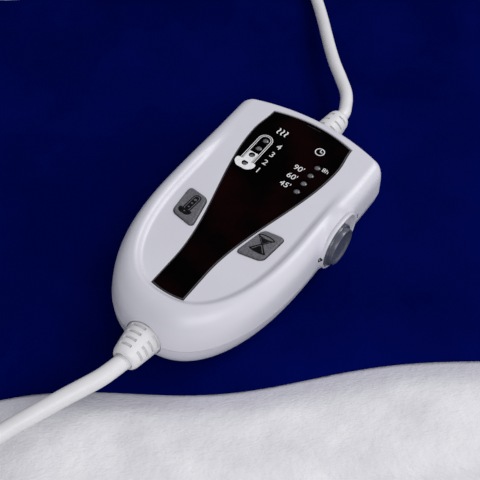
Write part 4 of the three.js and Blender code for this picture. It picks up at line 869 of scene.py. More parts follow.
def half_boss(upper):
    """The lip round the thumb disc and the solid behind it, as far as they belong to one shell."""
    form = long_form((
        (BOSS_INNER, LIP_RADIUS - 0.9), (HALF_WIDTH - 1.2, LIP_RADIUS - 0.9),
        (HALF_WIDTH - 0.4, LIP_RADIUS - 0.12), (HALF_WIDTH + 0.3, LIP_RADIUS),
        (COLLAR_EDGE - 0.35, LIP_RADIUS - 0.04), (COLLAR_EDGE - 0.1, LIP_RADIUS - 0.16),
        (COLLAR_EDGE, LIP_RADIUS - 0.4),
    ))
    bmesh.ops.bisect_plane(
        form, geom=[*form.verts, *form.edges, *form.faces],
        plane_co=(0, 0, SEAM_TOP if upper else SEAM_LOW), plane_no=(0, 0, 1),
        clear_inner=upper, clear_outer=not upper,
    )
    bmesh.ops.holes_fill(form, edges=form.edges, sides=0)
    return outward(form)


# %% Top shell
LAMP_X = 12
LAMP_PLACES = [(side * LAMP_X, HEAD_END - 23.5 - 5 * i) for side in (-1, 1) for i in range(4)]
LAMP_WELL = 1.8
ABOVE = PANEL + 5
WINDOW_FLOOR, WINDOW_MOUTH = PANEL - 1.8, 0.2
top_rings = [
    level(PANEL_UNDERSIDE, WALL + 4, WALL + 7, WALL + 2),
    level(PANEL_UNDERSIDE - 1.5, WALL + 1.5, WALL + 4, WALL + 1),
    level(SEAM + 5, WALL + 0.3, WALL + 1, WALL + 0.2),
    level(SEAM + 2.1, WALL, WALL, WALL),
    level(SEAM_TOP, WALL, WALL, WALL),
]
for wall, rim, *insets in finer(UPPER_ROWS):
    to_crest = 1 - smoothstep(insets[0], 4.4, 5.6)
    top_rings.append(ring(insets, lambda y, w=wall, r=rim: upper_height(w, r, y), to_crest))
top_rings.append(level(PANEL, 9.5, 14, 4.5))
top_form = join(loft(top_rings), [half_boss(True)])
window_recess = window_loft((
    (WINDOW_FLOOR, GAP), (PANEL - WINDOW_MOUTH, GAP), (PANEL + 0.01, GAP + WINDOW_MOUTH),
    (ABOVE, GAP + WINDOW_MOUTH),
))
top_cuts = [*shared_cuts(), window_recess]
for side in (-1, 1):
    well = key_corners(side, KEY_ROOM)
    top_cuts.append(plate(well, KEY_ROUND + KEY_ROOM, PANEL_UNDERSIDE - 1, ABOVE))
top_cuts += [post(x, y, LAMP_WELL, PANEL_UNDERSIDE - 1, PANEL) for x, y in LAMP_PLACES]
top_form = cut(top_form, top_cuts)
wall_tree = BVHTree.FromBMesh(top_form)
make_piece("upper_case", "top_shell", top_form, white_shell)

# %% Bottom shell
FLOOR = 2.5
LIP = WALL + GAP + 0.9
LIP_TOP = SEAM + 1.8
SCREW_PLACES = [(side * (HALF_WIDTH - 12.2), HEAD_END - 13.2) for side in (-1, 1)]
SCREW_PLACES += [(side * 14.5, TAIL_END + 17) for side in (-1, 1)]
# radius and depth of the two steps of a screw's well
SCREW_WELL = ((3.1, 3.5), (1.8, 9))
bottom_rings = [
    level(FLOOR, LIP + 4.5, LIP + 4.5, LIP + 3),
    level(FLOOR + 2.5, LIP + 1.6, LIP + 1.5, LIP + 1),
    level(SEAM_LOW - 3, LIP + 0.2, LIP + 0.1, LIP + 0.1),
    level(LIP_TOP, LIP, LIP, LIP),
    level(LIP_TOP, WALL + GAP, WALL + GAP, WALL + GAP),
    level(SEAM_LOW, WALL + GAP, WALL + GAP, WALL + GAP),
]
for share, *insets in reversed(finer(LOWER_ROWS)):
    bottom_rings.append(level(SEAM_LOW * share, *insets, swelling=1.0))
bottom_form = join(loft(bottom_rings), [half_boss(False)])
bottom_cuts = shared_cuts()
for x, y in SCREW_PLACES:
    bottom_cuts += [post(x, y, radius, -1, deep) for radius, deep in SCREW_WELL]
bottom_form = cut(bottom_form, bottom_cuts)
make_piece("lower_case", "bottom_shell", bottom_form, white_shell)

# %% [markdown]
# ## The window and its lamps
#
# The window is one dark plate let into the panel, with its edge ground at a slant and a fine notch
# for a blade at the head. What is ground or cut is a matt grey, not a dark mirror. Eight lamps show
# through round holes. Each is a small turned lens with a low dome, because a flat disc would give
# no glint.

# %% Window plate
WINDOW_LOW = 24
LAMP_HOLE = 1.65
NOTCH_HALF, NOTCH_WIDE, NOTCH_DEEP = 3.5, 1, 0.7
window_solid = window_loft((
    (WINDOW_LOW, 0), (WINDOW_TOP - 0.25, 0), (WINDOW_TOP, -0.35), (WINDOW_TOP, -0.7),
))
window_cuts = [post(x, y, LAMP_HOLE, WINDOW_LOW - 2, PANEL + 2) for x, y in LAMP_PLACES]
notch_y = WINDOW_HEAD + HEAD_BOW - 1.9
notch = rectangle(about(0, NOTCH_HALF), (notch_y, notch_y + NOTCH_WIDE))
window_cuts.append(plate(notch, 0.4, WINDOW_TOP - NOTCH_DEEP, PANEL + 2))
window_solid = cut(window_solid, window_cuts)
window_plate = make_piece(
    "window_plate", "display_window", window_solid, black_window, sharp=20,
)
window_plate.data.materials.append(ground_edge)
notch_floor = on_controller(0, 0, WINDOW_TOP - 0.5).z * MM
for face in window_plate.data.polygons:
    slanted = 0.3 < face.normal.z < 0.98
    sunk = face.normal.z > 0.98 and face.center.z < notch_floor
    face.material_index = 1 if slanted or sunk else 0

# %% Lamps
LAMP_FOOT = 18.9
LAMP_RADIUS = 1.5
LAMP_FLANGE = 1.9
DOME_LOW, DOME_RISE, DOME_STEPS = WINDOW_TOP - 1.2, 0.85, 6
UPRIGHT = Matrix.Rotation(pi / 2, 4, "X")
lamp_profile = [(0, LAMP_FOOT), (LAMP_FLANGE, LAMP_FOOT)]
lamp_profile += [(LAMP_FLANGE, LAMP_FOOT + 1), (LAMP_RADIUS, LAMP_FOOT + 1)]
for i in range(DOME_STEPS + 1):
    turn = pi / 2 * i / DOME_STEPS
    lamp_profile.append((LAMP_RADIUS * cos(turn), DOME_LOW + DOME_RISE * sin(turn)))
for i, (x, y) in enumerate(LAMP_PLACES):
    node = ("heat" if x < 0 else "time") + "_led_" + str(4 - i % 4)
    place = IN_CONTROLLER @ Matrix.Translation((x, y, 0)) @ UPRIGHT
    lens = turned(lamp_profile, 24)
    make_piece(node.replace("led", "lamp"), node, lens, lamp_lens, place)

# %% [markdown]
# ## The keys
#
# Each key is a rounded cap that leans with the window's edge. Below it a wider flange stops it from
# falling out and a stem reaches the switch. The cap starts as a flat face on four corners: rounding
# the corners, pushing it up and easing its upper edge gives the moulded shape.

# %% Keys
KEY_TOP = PANEL + 0.9
KEY_FLANGE_TOP = PANEL_UNDERSIDE - GAP
KEY_FLANGE = 1.2
KEY_STEM = 4
KEY_EDGE, KEY_OVERLAP = 0.5, 0.5
key_places = {}
for side, label in ((-1, "heat"), (1, "time")):
    corners = key_corners(side)
    mid_x, mid_y = key_places[label] = middle_of(corners)
    node = label + "_button"
    stem_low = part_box(node)[0][2] / MM - CONTROLLER_PLACE[2]
    cap = plate(corners, KEY_ROUND, KEY_FLANGE_TOP - KEY_OVERLAP, KEY_TOP, KEY_EDGE)
    flange_corners = key_corners(side, KEY_FLANGE)
    flange = plate(flange_corners, KEY_ROUND + 0.4, KEY_FLANGE_TOP - 1, KEY_FLANGE_TOP)
    stem = post(mid_x, mid_y, KEY_STEM / 2, stem_low, KEY_FLANGE_TOP - KEY_OVERLAP)
    form = join(cap, [flange, stem])
    make_piece(label + "_key", node, form, grey_key, body=node)

# %% [markdown]
# ## The thumb disc
#
# The on and off switch is a dished disc that slides along the right wall. It is turned from one
# half profile, with the stepped rim ring and the hollow face of the real one, and a flat neck joins
# it to the plate inside.

# %% Thumb disc
DISC_RADIUS = 8.75
DISC_BACK = RECESS_FLOOR + GAP
DISC_FACE = HALF_WIDTH + 3.6
NECK_LONG, NECK_HALF_Y, NECK_HALF_Z = 6, 1.7, 1.4
# how far in from the edge, and how far down from the face
DISC_ROWS = (
    (0, 2.1), (0.15, 1.75), (0.5, 1.6), (1, 1.6), (1.12, 1.45), (1.2, 0.35), (1.32, 0.12), (1.6, 0),
    (2, 0), (2.3, 0.14), (2.9, 0.75), (4, 1.05), (5.5, 1.24), (DISC_RADIUS, 1.3),
)
disc_profile = [(0, DISC_BACK), (DISC_RADIUS, DISC_BACK)]
disc_profile += [(DISC_RADIUS - inward, DISC_FACE - down) for inward, down in DISC_ROWS]
disc = turned(disc_profile, 72)
swing(disc, -pi / 2, "Z")
shift(disc, 0, SLIDER_Y, SLIDER_Z)
neck_x = (DISC_BACK - NECK_LONG, DISC_BACK + 1)
neck = block(neck_x, about(SLIDER_Y, NECK_HALF_Y), about(SLIDER_Z, NECK_HALF_Z))
disc = join(disc, [neck])
make_piece("thumb_disc", "power_slider", disc, grey_thumb, body="power_slider", sharp=30)

# %% [markdown]
# ## Strain reliefs and gland
#
# A strain relief is a soft sleeve, moulded on the lead, that bends with it. Short slots left and
# right of plain ridges make it bend evenly. The sleeve is turned, and each slot is a small tool
# swept part of the way round. The tail's sleeve sits turned a little about its axis.

# %% Reliefs
RELIEF_WALL = 3.6
RELIEF_FLANGE = 2
SLOT_WIDTH = 1.05
SLOT_DEPTH = 0.9
SLOT_FIRST, SLOT_ENDS = 1.6, 5.2
SLOT_FROM, SLOT_TO = radians(13.5), radians(69)
TAIL_TURN = Matrix.Rotation(radians(25), 4, "Y") @ Matrix.Rotation(pi, 4, "Z")


def relief_form(size, lead_radius):
    """A relief along +Y from the wall's outside."""
    long, base, end = size["long"], size["base"] / 2, size["end"] / 2
    flange, neck = size["flange"] / 2, size["neck"] / 2

    def radius_at(along):
        return base + (end - base) * along / long

    back = -(RELIEF_WALL + GAP)
    tip = radius_at(long)
    profile = [
        (0, back - RELIEF_FLANGE), (flange, back - RELIEF_FLANGE), (flange, back), (neck, back),
        (neck, 0), (base - 0.5, 0), (base - 0.12, 0.16), (base, 0.6),
        (radius_at(long - 2.2), long - 2.2), (radius_at(long - 1.3) - 0.12, long - 1.3),
        (tip - 0.35, long - 0.55), (tip - 0.8, long - 0.1), (tip - 1.2, long),
        (lead_radius + 0.8, long - 0.15), (lead_radius + 0.2, long - 0.9), (0, long - 0.9),
    ]
    cuts = []
    pitch = (long - SLOT_ENDS) / (size["slots"] - 1)
    for i in range(size["slots"]):
        middle = SLOT_FIRST + i * pitch
        floor = radius_at(middle) - SLOT_DEPTH
        corners = [(floor, -1), (base + 2, -1), (base + 2, 1), (floor, 1)]
        for ridge, side in ((0, -1), (0, 1), (pi, -1), (pi, 1)):
            tool = bmesh.new()
            points = [tool.verts.new((0, middle + half * SLOT_WIDTH / 2, r)) for r, half in corners]
            face = bmesh.ops.contextual_create(tool, geom=points)["faces"]
            swing(tool, ridge + side * SLOT_FROM, "Y")
            sweep = side * (SLOT_TO - SLOT_FROM)
            bmesh.ops.spin(tool, geom=face, cent=(0, 0, 0), axis=(0, 1, 0), angle=sweep, steps=12)
            bmesh.ops.holes_fill(tool, edges=tool.edges, sides=0)
            cuts.append(outward(tool))
    return cut(turned(profile, 56), cuts)


for label, size, diameter, base, turn in (
    ("tail", TAIL_RELIEF, MAINS_DIAMETER, TAIL_BASE, TAIL_TURN),
    ("head", HEAD_RELIEF, PAD_LEAD_DIAMETER, HEAD_BASE, Matrix.Identity(4)),
):
    place = IN_CONTROLLER @ Matrix.Translation((0, base, SEAM)) @ turn
    form = relief_form(size, diameter / 2)
    make_piece(label + "_sleeve", label + "_relief", form, lead_vinyl, place)

# %% Gland of the pad
GLAND_LENGTH = 28
TONGUE_HALF, TONGUE_LOW, TONGUE_HIGH = 4, 5.5, 7
gland_base = gland_high.y - GLAND_LENGTH
gland_profile = (
    (0, 0), (4.5, 0), (5.2, 0.25), (5.5, 1), (5.5, 5), (4.5, 24), (4.3, 26.6), (4.05, 27.6),
    (3.4, GLAND_LENGTH), (2.9, GLAND_LENGTH - 0.2), (2.8, GLAND_LENGTH - 0.8),
    (0, GLAND_LENGTH - 0.8),
)
sleeve = turned(gland_profile, 40)
shift(sleeve, GLAND_X, gland_base, GLAND_HEIGHT)
tongue_corners = rectangle(about(GLAND_X, TONGUE_HALF), (gland_low.y, gland_base + 2.5))
tongue = plate(tongue_corners, 1.5, TONGUE_LOW, TONGUE_HIGH, 0.5)
gland_form = join(sleeve, [tongue])
make_piece("gland_sleeve", "pad_gland", gland_form, lead_vinyl, IN_PAD)

# %% [markdown]
# ## Plug and tie
#
# The mains lead ends in a flat two-pin plug. Its body is one face pushed up and rounded over at both
# rims, and the pins are turned with rounded tips. A strap holds the coil together, drawn tight on
# the turns that lie under it.

# %% Plug
PLUG_LENGTH, PLUG_WIDTH, PLUG_TAIL, PLUG_THICK = 36, 35, 13, 13.8
PLUG_SHOULDER, PLUG_ROUND = 11, 2.5
PIN_RADIUS, PIN_LENGTH, PIN_SPACING, PIN_HOLE = 2, 19, 18.6, 6
plug_turn = Matrix.Rotation(atan2(plug_way.y, plug_way.x), 4, "Z")
plug_place = IN_PAD @ Matrix.Translation(plug_back + plug_way * GAP) @ plug_turn
plug_side = [
    (0, PLUG_TAIL / 2), (PLUG_SHOULDER, PLUG_TAIL / 2),
    (PLUG_LENGTH - PLUG_SHOULDER, PLUG_WIDTH / 2), (PLUG_LENGTH, PLUG_WIDTH / 2),
]
plug_corners = [(x, -y) for x, y in plug_side] + plug_side[::-1]
plug_form = plate(plug_corners, 3, -PLUG_THICK / 2, PLUG_THICK / 2, PLUG_ROUND)
round_over(plug_form, -PLUG_THICK / 2, PLUG_ROUND)
sockets = []
for side in (-1, 1):
    socket = bar(0, PIN_RADIUS + GAP, PLUG_LENGTH - PIN_HOLE, PLUG_LENGTH + 1)
    swing(socket, -pi / 2, "Z")
    shift(socket, 0, side * PIN_SPACING / 2, 0)
    sockets.append(socket)
plug_form = cut(plug_form, sockets)
plug_pieces = [make_piece("plug_grip", "plug_body", plug_form, lead_vinyl, plug_place)]
pin_start, pin_end = PLUG_LENGTH - PIN_HOLE + GAP, PLUG_LENGTH + PIN_LENGTH
pin_profile = [
    (0, pin_start), (PIN_RADIUS, pin_start), (PIN_RADIUS, pin_end - 1.6),
    (PIN_RADIUS * 0.93, pin_end - 0.8), (PIN_RADIUS * 0.7, pin_end - 0.22), (0, pin_end),
]
along_plug = Matrix.Rotation(-pi / 2, 4, "Z")
for label, side in (("1", -1), ("2", 1)):
    pin_place = plug_place @ Matrix.Translation((0, side * PIN_SPACING / 2, 0)) @ along_plug
    pin = turned(pin_profile, 28)
    plug_pieces.append(
        make_piece("plug_prong_" + label, "plug_pin_" + label, pin, plated_steel, pin_place)
    )

# %% Tie
TIE_THICK, TIE_WIDTH, TIE_ANGLE = 0.8, 9, radians(35)
# radii of the innermost and the outermost turn under the strap
TIED_INNER, TIED_OUTER = 29.5, 44.3
clear = GAP + MAINS_DIAMETER / 2
half_wide = (TIED_OUTER - TIED_INNER) / 2 + clear
half_tall = COIL_PITCH / 2 + clear


def strap_plate(grow, half_width):
    corners = rectangle(about(0, half_wide + grow), about(0, half_tall + grow))
    return plate(corners, 3 + grow, -half_width, half_width, 0, 8)


strap_form = strap_plate(TIE_THICK, TIE_WIDTH / 2)
strap_form = cut(strap_form, [strap_plate(0, TIE_WIDTH)])
strap_middle = Vector(((TIED_OUTER + TIED_INNER) / 2, 0, COIL_LOW + COIL_PITCH / 2))
strap_turn = Matrix.Rotation(TIE_ANGLE, 4, "Z") @ Matrix.Translation(strap_middle) @ UPRIGHT
strap_place = IN_PAD @ Matrix.Translation(COIL_MIDDLE) @ strap_turn
strap = make_piece("coil_strap", "cord_tie", strap_form, strap_web, strap_place)

# %% [markdown]
# ## Prints
#
# The window is printed in white: a thermometer round the heat lamps with the steps 1 to 4, and the
# minutes beside the time lamps. The keys carry a dark thermometer and an hourglass. A print is a
# thin solid on the surface, so that it has a true edge from every side. Text is made a mesh first.

# %% Print helpers
INK = 0.05
CAPITAL = 0.72


def slab(x, y, top, radius=0.0):
    """A thin rectangle of ink, rounded if asked."""
    return plate(rectangle(x, y), radius, top, top + INK, 0, 8)


def line_slab(x, y, width, radius, top):
    """The outline of a rounded rectangle."""
    inner = rectangle((x[0] + width, x[1] - width), (y[0] + width, y[1] - width))
    hole = plate(inner, radius - width, -1, 40, 0, 8)
    return cut(slab(x, y, top, radius), [hole])


def evaluated_mesh(thing):
    return bpy.data.meshes.new_from_object(
        thing.evaluated_get(bpy.context.evaluated_depsgraph_get())
    )


def lettering(text, height, place, bold=-0.004):
    """Figures of a given height, standing on the point."""
    data = bpy.data.curves.new("lettering", "FONT")
    data.body = text
    data.size = height / CAPITAL
    data.align_x = "CENTER"
    data.extrude = INK / 2
    data.offset = bold * height
    writing = add_object("lettering", data)
    outlines = evaluated_mesh(writing)
    form = bmesh.new()
    form.from_mesh(outlines)
    bmesh.ops.remove_doubles(form, verts=form.verts, dist=1e-4)
    bpy.data.objects.remove(writing)
    bpy.data.curves.remove(data)
    bpy.data.meshes.remove(outlines)
    shift(form, *(Vector(place) + Vector((0, 0, INK / 2))))
    return form


def gather(forms):
    """Several prints as one mesh."""
    whole = bmesh.new()
    for form in forms:
        part = mesh_of("part", form)
        whole.from_mesh(part)
        bpy.data.meshes.remove(part)
    return whole


def bulb_slab(half, high, low, top):
    """The broad foot of a thermometer, with flat shoulders and a rounded underside."""
    corners = (
        (-half, high), (-half, -0.2 * half), (-0.55 * half, low), (0.55 * half, low),
        (half, -0.2 * half), (half, high),
    )
    return plate(corners, 0.2 * half, top, top + INK, 0, 6)


def thermometer(top):
    """Thermometer of the window: two outlines, and over them a broad bulb and a filled column."""
    bulb_y = LAMP_PLACES[3][1]
    tip = LAMP_PLACES[0][1] + 2.6
    outer = line_slab((-3.1, 3.1), (bulb_y - 1, tip), 0.28, 3.05, top)
    inner = line_slab((-2.4, 2.4), (bulb_y - 1, tip - 0.7), 0.26, 2.35, top)
    bulb = bulb_slab(4.3, 1.5, -2.9, top + 0.02)
    shift(bulb, 0, bulb_y, 0)
    column = slab((-1.95, 1.95), (bulb_y + 1, bulb_y + 6.6), top + 0.04)
    lower, upper = (post(0, LAMP_PLACES[i][1], 1.3, -1, 40, 24) for i in (3, 2))
    bulb = cut(bulb, [lower])
    return gather([bulb, cut(column, [upper]), outer, inner])


# %% Prints on the window
ON_WINDOW = WINDOW_TOP + 0.005
SIGN_Y = 44
DIAL_X = 8.6
heat_print = thermometer(ON_WINDOW)
shift(heat_print, -LAMP_X, 0, 0)
marks = [heat_print]
for i, (_, y) in enumerate(LAMP_PLACES[:4]):
    marks.append(lettering(str(4 - i), 2.9, (-5.7, y - 1.5, ON_WINDOW)))
for text, (_, y) in zip(("90'", "60'", "45'"), LAMP_PLACES[5:]):
    marks.append(lettering(text, 2.7, (6.6, y - 1.3, ON_WINDOW)))
marks.append(lettering("8h", 2.1, (15.6, LAMP_PLACES[4][1] - 1, ON_WINDOW)))
for i in range(3):
    wave = lettering("~", 4.2, (0, -1.6, 0), 0.01)
    swing(wave, pi / 2, "Z")
    shift(wave, -10.6 + 1.7 * i, SIGN_Y, ON_WINDOW)
    marks.append(wave)
dial = post(DIAL_X, SIGN_Y, 2, ON_WINDOW, ON_WINDOW + INK, 32)
marks.append(cut(dial, [post(DIAL_X, SIGN_Y, 1.62, -1, 40, 32)]))
hands = (((8.42, 8.78), (43.9, 45.3)), ((8.42, 9.7), (43.82, 44.18)))
marks += [slab(x, y, ON_WINDOW) for x, y in hands]
make_piece("window_print", None, gather(marks), white_ink)

# %% Prints on the keys
ON_KEY = KEY_TOP + 0.005


def on_key(name, form, label, turn):
    """A dark print in the middle of a key, moving with it."""
    swing(form, radians(turn), "Z")
    shift(form, *key_places[label], ON_KEY)
    make_piece(name, None, form, dark_ink, body=label + "_button")


stem = line_slab((-1.7, 1.7), (-3.6, 5.4), 0.42, 1.65, 0)
column = slab((-0.95, 0.95), (-2.8, 4.6), 0.04, 0.9)
foot = bulb_slab(2.75, 0.9, -1.6, 0.02)
shift(foot, 0, -3.6, 0)
dot_places = ((-3.7, 0.4), (-1.2, 0.38), (0.9, 0.45), (2.9, 0.62))
dots = [post(0, y, radius, -1, 1, 20) for y, radius in dot_places]
foot = cut(foot, dots[:1])
column = cut(column, dots[1:])
on_key("heat_icon", gather([foot, column, stem]), "heat", -3)


def cone_slab(width, wide_y, neck_y, low=0.0, high=INK):
    """One half of a sand glass, from its wide end to the neck."""
    corners = [(-width, wide_y), (width, wide_y), (0.3, neck_y), (-0.3, neck_y)]
    return plate(corners if wide_y < neck_y else corners[::-1], 0, low, high)


def oval_slab(half_x, half_y, y, low=0.0, high=INK):
    form = post(0, 0, 1, low, high, 40)
    bmesh.ops.scale(form, vec=(half_x, half_y, 1), verts=form.verts)
    shift(form, 0, y, 0)
    return form


lower_half = cone_slab(3.4, -3.7, 0.2)
rims = [oval_slab(3.4, 1.05, 3.5), oval_slab(3.4, 0.8, -3.6)]
glass = join(cone_slab(3.4, 3.5, -0.2), [lower_half, *rims])
hollows = [oval_slab(2.85, 0.6, 3.5, -1, 1)]
hollows += [cone_slab(2.3, 2.55, 0.45, -1, 1), cone_slab(2.5, -3.55, -0.5, -1, 1)]
glass = cut(glass, hollows)
sand = [cone_slab(1.9, 2.45, 0.6), cone_slab(2.1, -3.6, -0.95)]
on_key("time_icon", gather([glass, *sand]), "time", 3)

# %% Marks beside the thumb disc
ON_WALL = Matrix.Rotation(pi / 2, 4, "Z") @ Matrix.Rotation(pi / 2, 4, "X")
for name, text, y, z in (("off_mark", "0", 4.3, 17.1), ("on_mark", "I", 33.4, 14.7)):
    mark = lettering(text, 2.1, (0, -1.05, 0), 0.05)
    mark.transform(Matrix.Translation((0, y, z)) @ ON_WALL)
    for vert in mark.verts:
        hit = wall_tree.ray_cast(Vector((60, vert.co.y, vert.co.z)), Vector((-1, 0, 0)))[0]
        vert.co.x += hit.x + 0.005
    make_piece(name, None, mark, dark_ink)

# %% [markdown]
# ## The pad
#
# The pad is two layers: a white fleece base and a padded navy cover. Both start as a flat grid that
# is pushed up, drawn to a soft rectangle and rolled over at its edge; the cover's sides pull in
# between the corners. Cloth simulation then swells them like a sewn pad, and the fleece margin rises
# softly in front of the cover's edge. Where something lies on them they are held down, so they stay
# clear of the controller and the leads.

# %% Rolled layers
EDGE_LINES = (0, 0.5, 1.4, 2.8, 5)
EDGE_BAND = 8
GRID = 4


def grid_places(half):
    """Places of the grid lines: close together at both edges, evenly spaced between them."""
    inner = half - EDGE_BAND
    count = round(2 * inner / GRID)
    middle = [-inner + 2 * inner * i / count for i in range(count + 1)]
    return [line - half for line in EDGE_LINES] + middle + [half - line for line in EDGE_LINES[::-1]]


def rolled_layer(half_x, half_y, corner, top_at, low_at, pull):
    """A flat closed layer; its two heights follow from the distance to its edge."""
    columns, rows = grid_places(half_x), grid_places(half_y)
    form = bmesh.new()
    bmesh.ops.create_grid(form, x_segments=len(columns) - 1, y_segments=len(rows) - 1, size=1)
    made = bmesh.ops.extrude_face_region(form, geom=list(form.faces))["geom"]
    upper = set(only(bmesh.types.BMVert, made))
    for vert in form.verts:
        x = columns[round((vert.co.x + 1) / 2 * (len(columns) - 1))]
        y = rows[round((vert.co.y + 1) / 2 * (len(rows) - 1))]
        a = max(abs(x) - half_x + corner, 0) / corner
        b = max(abs(y) - half_y + corner, 0) / corner
        round_a, round_b = a * sqrt(1 - b * b / 2), b * sqrt(1 - a * a / 2)
        inset = corner * (1 - hypot(round_a, round_b))
        pull_x, pull_y = pull(x, y)
        long_x = abs(x) + (round_a - a) * corner - pull_x * (x / half_x) ** 2
        long_y = abs(y) + (round_b - b) * corner - pull_y * (y / half_y) ** 2
        height = top_at(inset) if vert in upper else low_at(inset)
        vert.co = (copysign(long_x, x), copysign(long_y, y), height)
    return outward(form)


def wave_in(place, half, lobes, depth):
    """How far a side pulls in at a place along it."""
    share = min(max((place + half) / (2 * half), 0), 1)
    return depth / 2 * (1 - cos(2 * pi * lobes * share))


def roll(inset, width, power):
    """From 0 at the edge to 1 where the roll ends."""
    return 1 - (1 - min(inset / width, 1)) ** power


# %% Cover and fleece before they swell
FLEECE_TOP = 5
FLEECE_EDGE = 2.7
COVER_LOW = 5.3
COVER_TOP = 10.6
COVER_EDGE = 0.22


def cover_pull(x, y):
    """How far the cover's edge pulls in, across and along; the front more than the rear."""
    deep = 5.5 if y > 0 else 6.3 - 0.027 * x
    return wave_in(y, 93, 1, 5.5), wave_in(x, 133, 2, deep) + (0 if y > 0 else 1)


def cover_top(inset):
    full = COVER_EDGE + (1 - COVER_EDGE) * roll(inset, 14, 5)
    return COVER_LOW + (COVER_TOP - COVER_LOW) * full


def cover_low(inset):
    return COVER_LOW + 0.6 * (1 - roll(inset, 1, 1))


def fleece_pull(x, _):
    return 0, wave_in(x, 168, 1, 3)


def fleece_top(inset):
    return FLEECE_EDGE + (FLEECE_TOP - FLEECE_EDGE) * roll(inset, 5, 3)


def fleece_low(inset):
    return 2.3 * (1 - roll(inset, 6, 3))


cover_form = rolled_layer(COVER_HALF_X, COVER_HALF_Y, 22, cover_top, cover_low, cover_pull)
fleece_form = rolled_layer(PAD_HALF_X, PAD_HALF_Y, 32, fleece_top, fleece_low, fleece_pull)
print("points of the cover and the fleece:", len(cover_form.verts), len(fleece_form.verts))

# %% Room above the pad
COVER_RISE = 1.6
MARGIN_RISE = 3.2
LOW_LEAD = 15.5
LEAD_FROM = 8
GLAND_Y = 130
# distances at which the cloth starts to rise and at which it is free
COVER_BY_CONTROLLER, COVER_BY_LEAD = (3, 26), (5, 24)
MARGIN_BY_LEAD, MARGIN_BY_GLAND, MARGIN_BY_COVER = (6, 24), (18, 34), (-1, 13)
footprint = [on_controller(x, y, 0) for x, y in outline(0, 0, 0)]
footprint_middle = (sum(footprint, Vector()) / len(footprint)).to_2d()


def halved(points):
    """The points and those half way between them."""
    return points + [a.lerp(b, 0.5) for a, b in zip(points, points[1:])]


mains_near = halved([point for point in over_pad if point.z < LOW_LEAD] + [mains_lead_in])
lead_near = halved(pad_points[LEAD_FROM:])


def under_controller(x, y):
    """How far a point lies outside the controller's outline, in millimetres, negative inside."""
    local = Matrix.Rotation(-CONTROLLER_TURN, 2) @ (Vector((x, y)) - footprint_middle)
    return max(abs(local.x) - HALF_WIDTH, abs(local.y) - HEAD_END)


def near_lead(points, x, y):
    return min(hypot(point.x - x, point.y - y) for point in points)


def cover_room(x, y):
    """Height that the cover may reach."""
    free = smoothstep(under_controller(x, y), *COVER_BY_CONTROLLER)
    free *= smoothstep(near_lead(lead_near, x, y), *COVER_BY_LEAD)
    return COVER_TOP - 0.05 + COVER_RISE * free


def outside_cover(x, y):
    """How far a point lies outside the cover's edge."""
    pull_x, pull_y = cover_pull(x, y)
    return max(abs(x) + pull_x - COVER_HALF_X + 1, abs(y) + pull_y - COVER_HALF_Y + 1)


def margin_rise(x, y):
    """How far the fleece margin rises where nothing lies on it."""
    free = smoothstep(near_lead(mains_near, x, y), *MARGIN_BY_LEAD)
    free *= smoothstep(near_lead(lead_near, x, y), *MARGIN_BY_LEAD)
    free *= smoothstep(hypot(x - GLAND_X, y - GLAND_Y), *MARGIN_BY_GLAND)
    return MARGIN_RISE * free * smoothstep(outside_cover(x, y), *MARGIN_BY_COVER)


def fleece_room(x, y):
    """Height that the fleece may reach."""
    return FLEECE_TOP + 0.05 + 1.15 * margin_rise(x, y)


print("room over the cover's middle:", round(cover_room(0, 0), 2), "mm")

# %% Swelling by cloth simulation
PRESSURE = 4
FRAMES = 20
SIDEWAYS = 0.2


def swell(name, form, low, cap):
    """The form swollen by cloth pressure, with its underside held."""
    form.transform(IN_PAD)
    mesh = mesh_of(name, form)
    piece = add_object(name, mesh)
    start = [vert.co.copy() for vert in mesh.vertices]
    held = piece.vertex_groups.new(name="held")
    held.add([i for i, co in enumerate(start) if co.z < low * MM], 1.0, "REPLACE")
    cloth = piece.modifiers.new("cloth", "CLOTH")
    cloth.settings.use_pressure = True
    cloth.settings.uniform_pressure_force = PRESSURE
    cloth.settings.effector_weights.gravity = 0
    cloth.settings.vertex_group_mass = "held"
    cloth.settings.quality = 5
    for frame_number in range(1, FRAMES + 1):
        scene.frame_set(frame_number)
    swollen = evaluated_mesh(piece)
    piece.modifiers.clear()
    piece.vertex_groups.clear()
    for vert, old, new in zip(mesh.vertices, start, swollen.vertices):
        move = (new.co - old) * Vector((SIDEWAYS, SIDEWAYS, 1))
        if move.length > cap * MM:
            move *= cap * MM / move.length
        vert.co = old + move
    bpy.data.meshes.remove(swollen)
    scene.frame_set(1)
    return piece


# %% Settling, and both layers
def settle(mesh, floor, nap, nap_size, room, rise):
    """Raises a soft nap on the cloth, lifts it and keeps it under the room above it."""
    form = bmesh.new()
    form.from_mesh(mesh)
    for _ in range(2):
        bmesh.ops.smooth_vert(
            form, verts=form.verts, factor=0.5, use_axis_x=True, use_axis_y=True, use_axis_z=True,
        )
    outward(form)
    if form.calc_volume(signed=True) < 0:  # so flat a form can come out turned inwards
        bmesh.ops.reverse_faces(form, faces=form.faces)
    form.to_mesh(mesh)
    form.free()
    for vert in mesh.vertices:
        x, y, z = vert.co / MM
        wave = noise.fractal(Vector((x, y, z)) / nap_size, 1.0, 2.0, 3)
        if z > floor:
            lift = rise(x, y) * smoothstep(z, floor, floor + 2) if rise else 0
            z = min(z + nap * wave + lift, room(x, y))
        vert.co = Vector((x, y, max(z, 0))) * MM


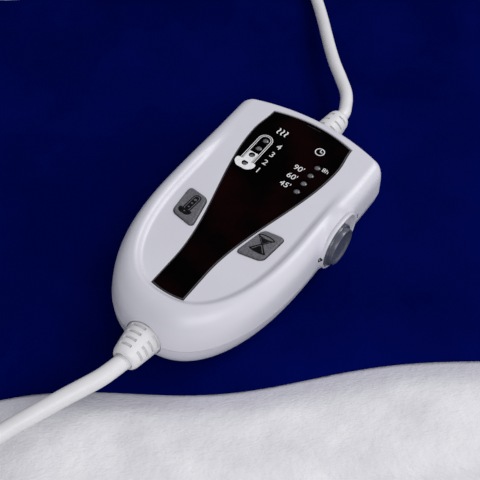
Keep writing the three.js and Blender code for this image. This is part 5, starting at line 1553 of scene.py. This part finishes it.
def make_layer(name, node, form, material, low, cap, nap, nap_size, room, rise=None):
    piece = swell(name, form, low, cap)
    mesh = piece.data
    settle(mesh, low + 1, nap, nap_size, room, rise)
    soften = piece.modifiers.new("soften", "SUBSURF")
    soften.levels = soften.render_levels = 1
    mesh.shade_smooth()
    # painted shade on the fleece: 1 under the cover, fading out 16 mm past its edge
    painted_shade_near_cover = mesh.attributes.new("painted_shade_near_cover", "FLOAT", "POINT")
    for value, vert in zip(painted_shade_near_cover.data, mesh.vertices):
        value.value = 1 - smoothstep(outside_cover(vert.co.x / MM, vert.co.y / MM), 0, 16)
    mesh.materials.append(material)
    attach(piece, BASE)
    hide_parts(node)
    print(name, "has", len(mesh.vertices), "points")
    return piece


plush_cover = make_layer(
    "plush_cover", "pad_cover", cover_form, navy_plush,
    COVER_LOW + 1.2, 2.2, 0.35, 26, cover_room,
)
fleece = make_layer(
    "fleece", "fleece_base", fleece_form, white_fleece,
    1.2, 1.8, 0.3, 16, fleece_room, margin_rise,
)

# %% [markdown]
# ## Stage and light
#
# A pale floor, one large soft lamp high on the right and behind, a wide one in front and an even
# pale sky. The first gives the long highlights along the rim, and lets the shadow of the
# controller fall to the left as on the real pad.

# %% Floor, lamps and sky
floor_paint = finish("floor_paint", (0.72, 0.72, 0.73), 0.8)
tint(floor_paint, (6, 3), (0.71, 0.71, 0.72), (0.73, 0.73, 0.74))
floor_form = bmesh.new()
bmesh.ops.create_grid(floor_form, x_segments=2, y_segments=2, size=3)
floor_mesh = mesh_of("floor", floor_form)
floor_mesh.materials.append(floor_paint)
add_object("floor", floor_mesh)


def soft_lamp(name, place, target, size, power):
    data = bpy.data.lights.new(name, "AREA")
    data.shape = "RECTANGLE"
    data.size, data.size_y = size
    data.energy = power
    aim = (Vector(target) - Vector(place)).to_track_quat("-Z", "Y")
    lamp = add_object(name, data)
    lamp.matrix_world = Matrix.Translation(place) @ aim.to_matrix().to_4x4()


soft_lamp("key_lamp", (0.75, 0.2, 0.75), (0.02, -0.04, 0.02), (0.6, 0.42), 5.0)
soft_lamp("fill_lamp", (0.05, -0.9, 0.75), (0, -0.05, 0.02), (0.9, 0.6), 6.4)
world = bpy.data.worlds.new("sky")
world.use_nodes = True
sky = world.node_tree.nodes["Background"]
write_sockets(sky, {"Color": (0.9, 0.92, 1, 1), "Strength": 0.36})
scene.world = world
print("lamps:", len(bpy.data.lights))
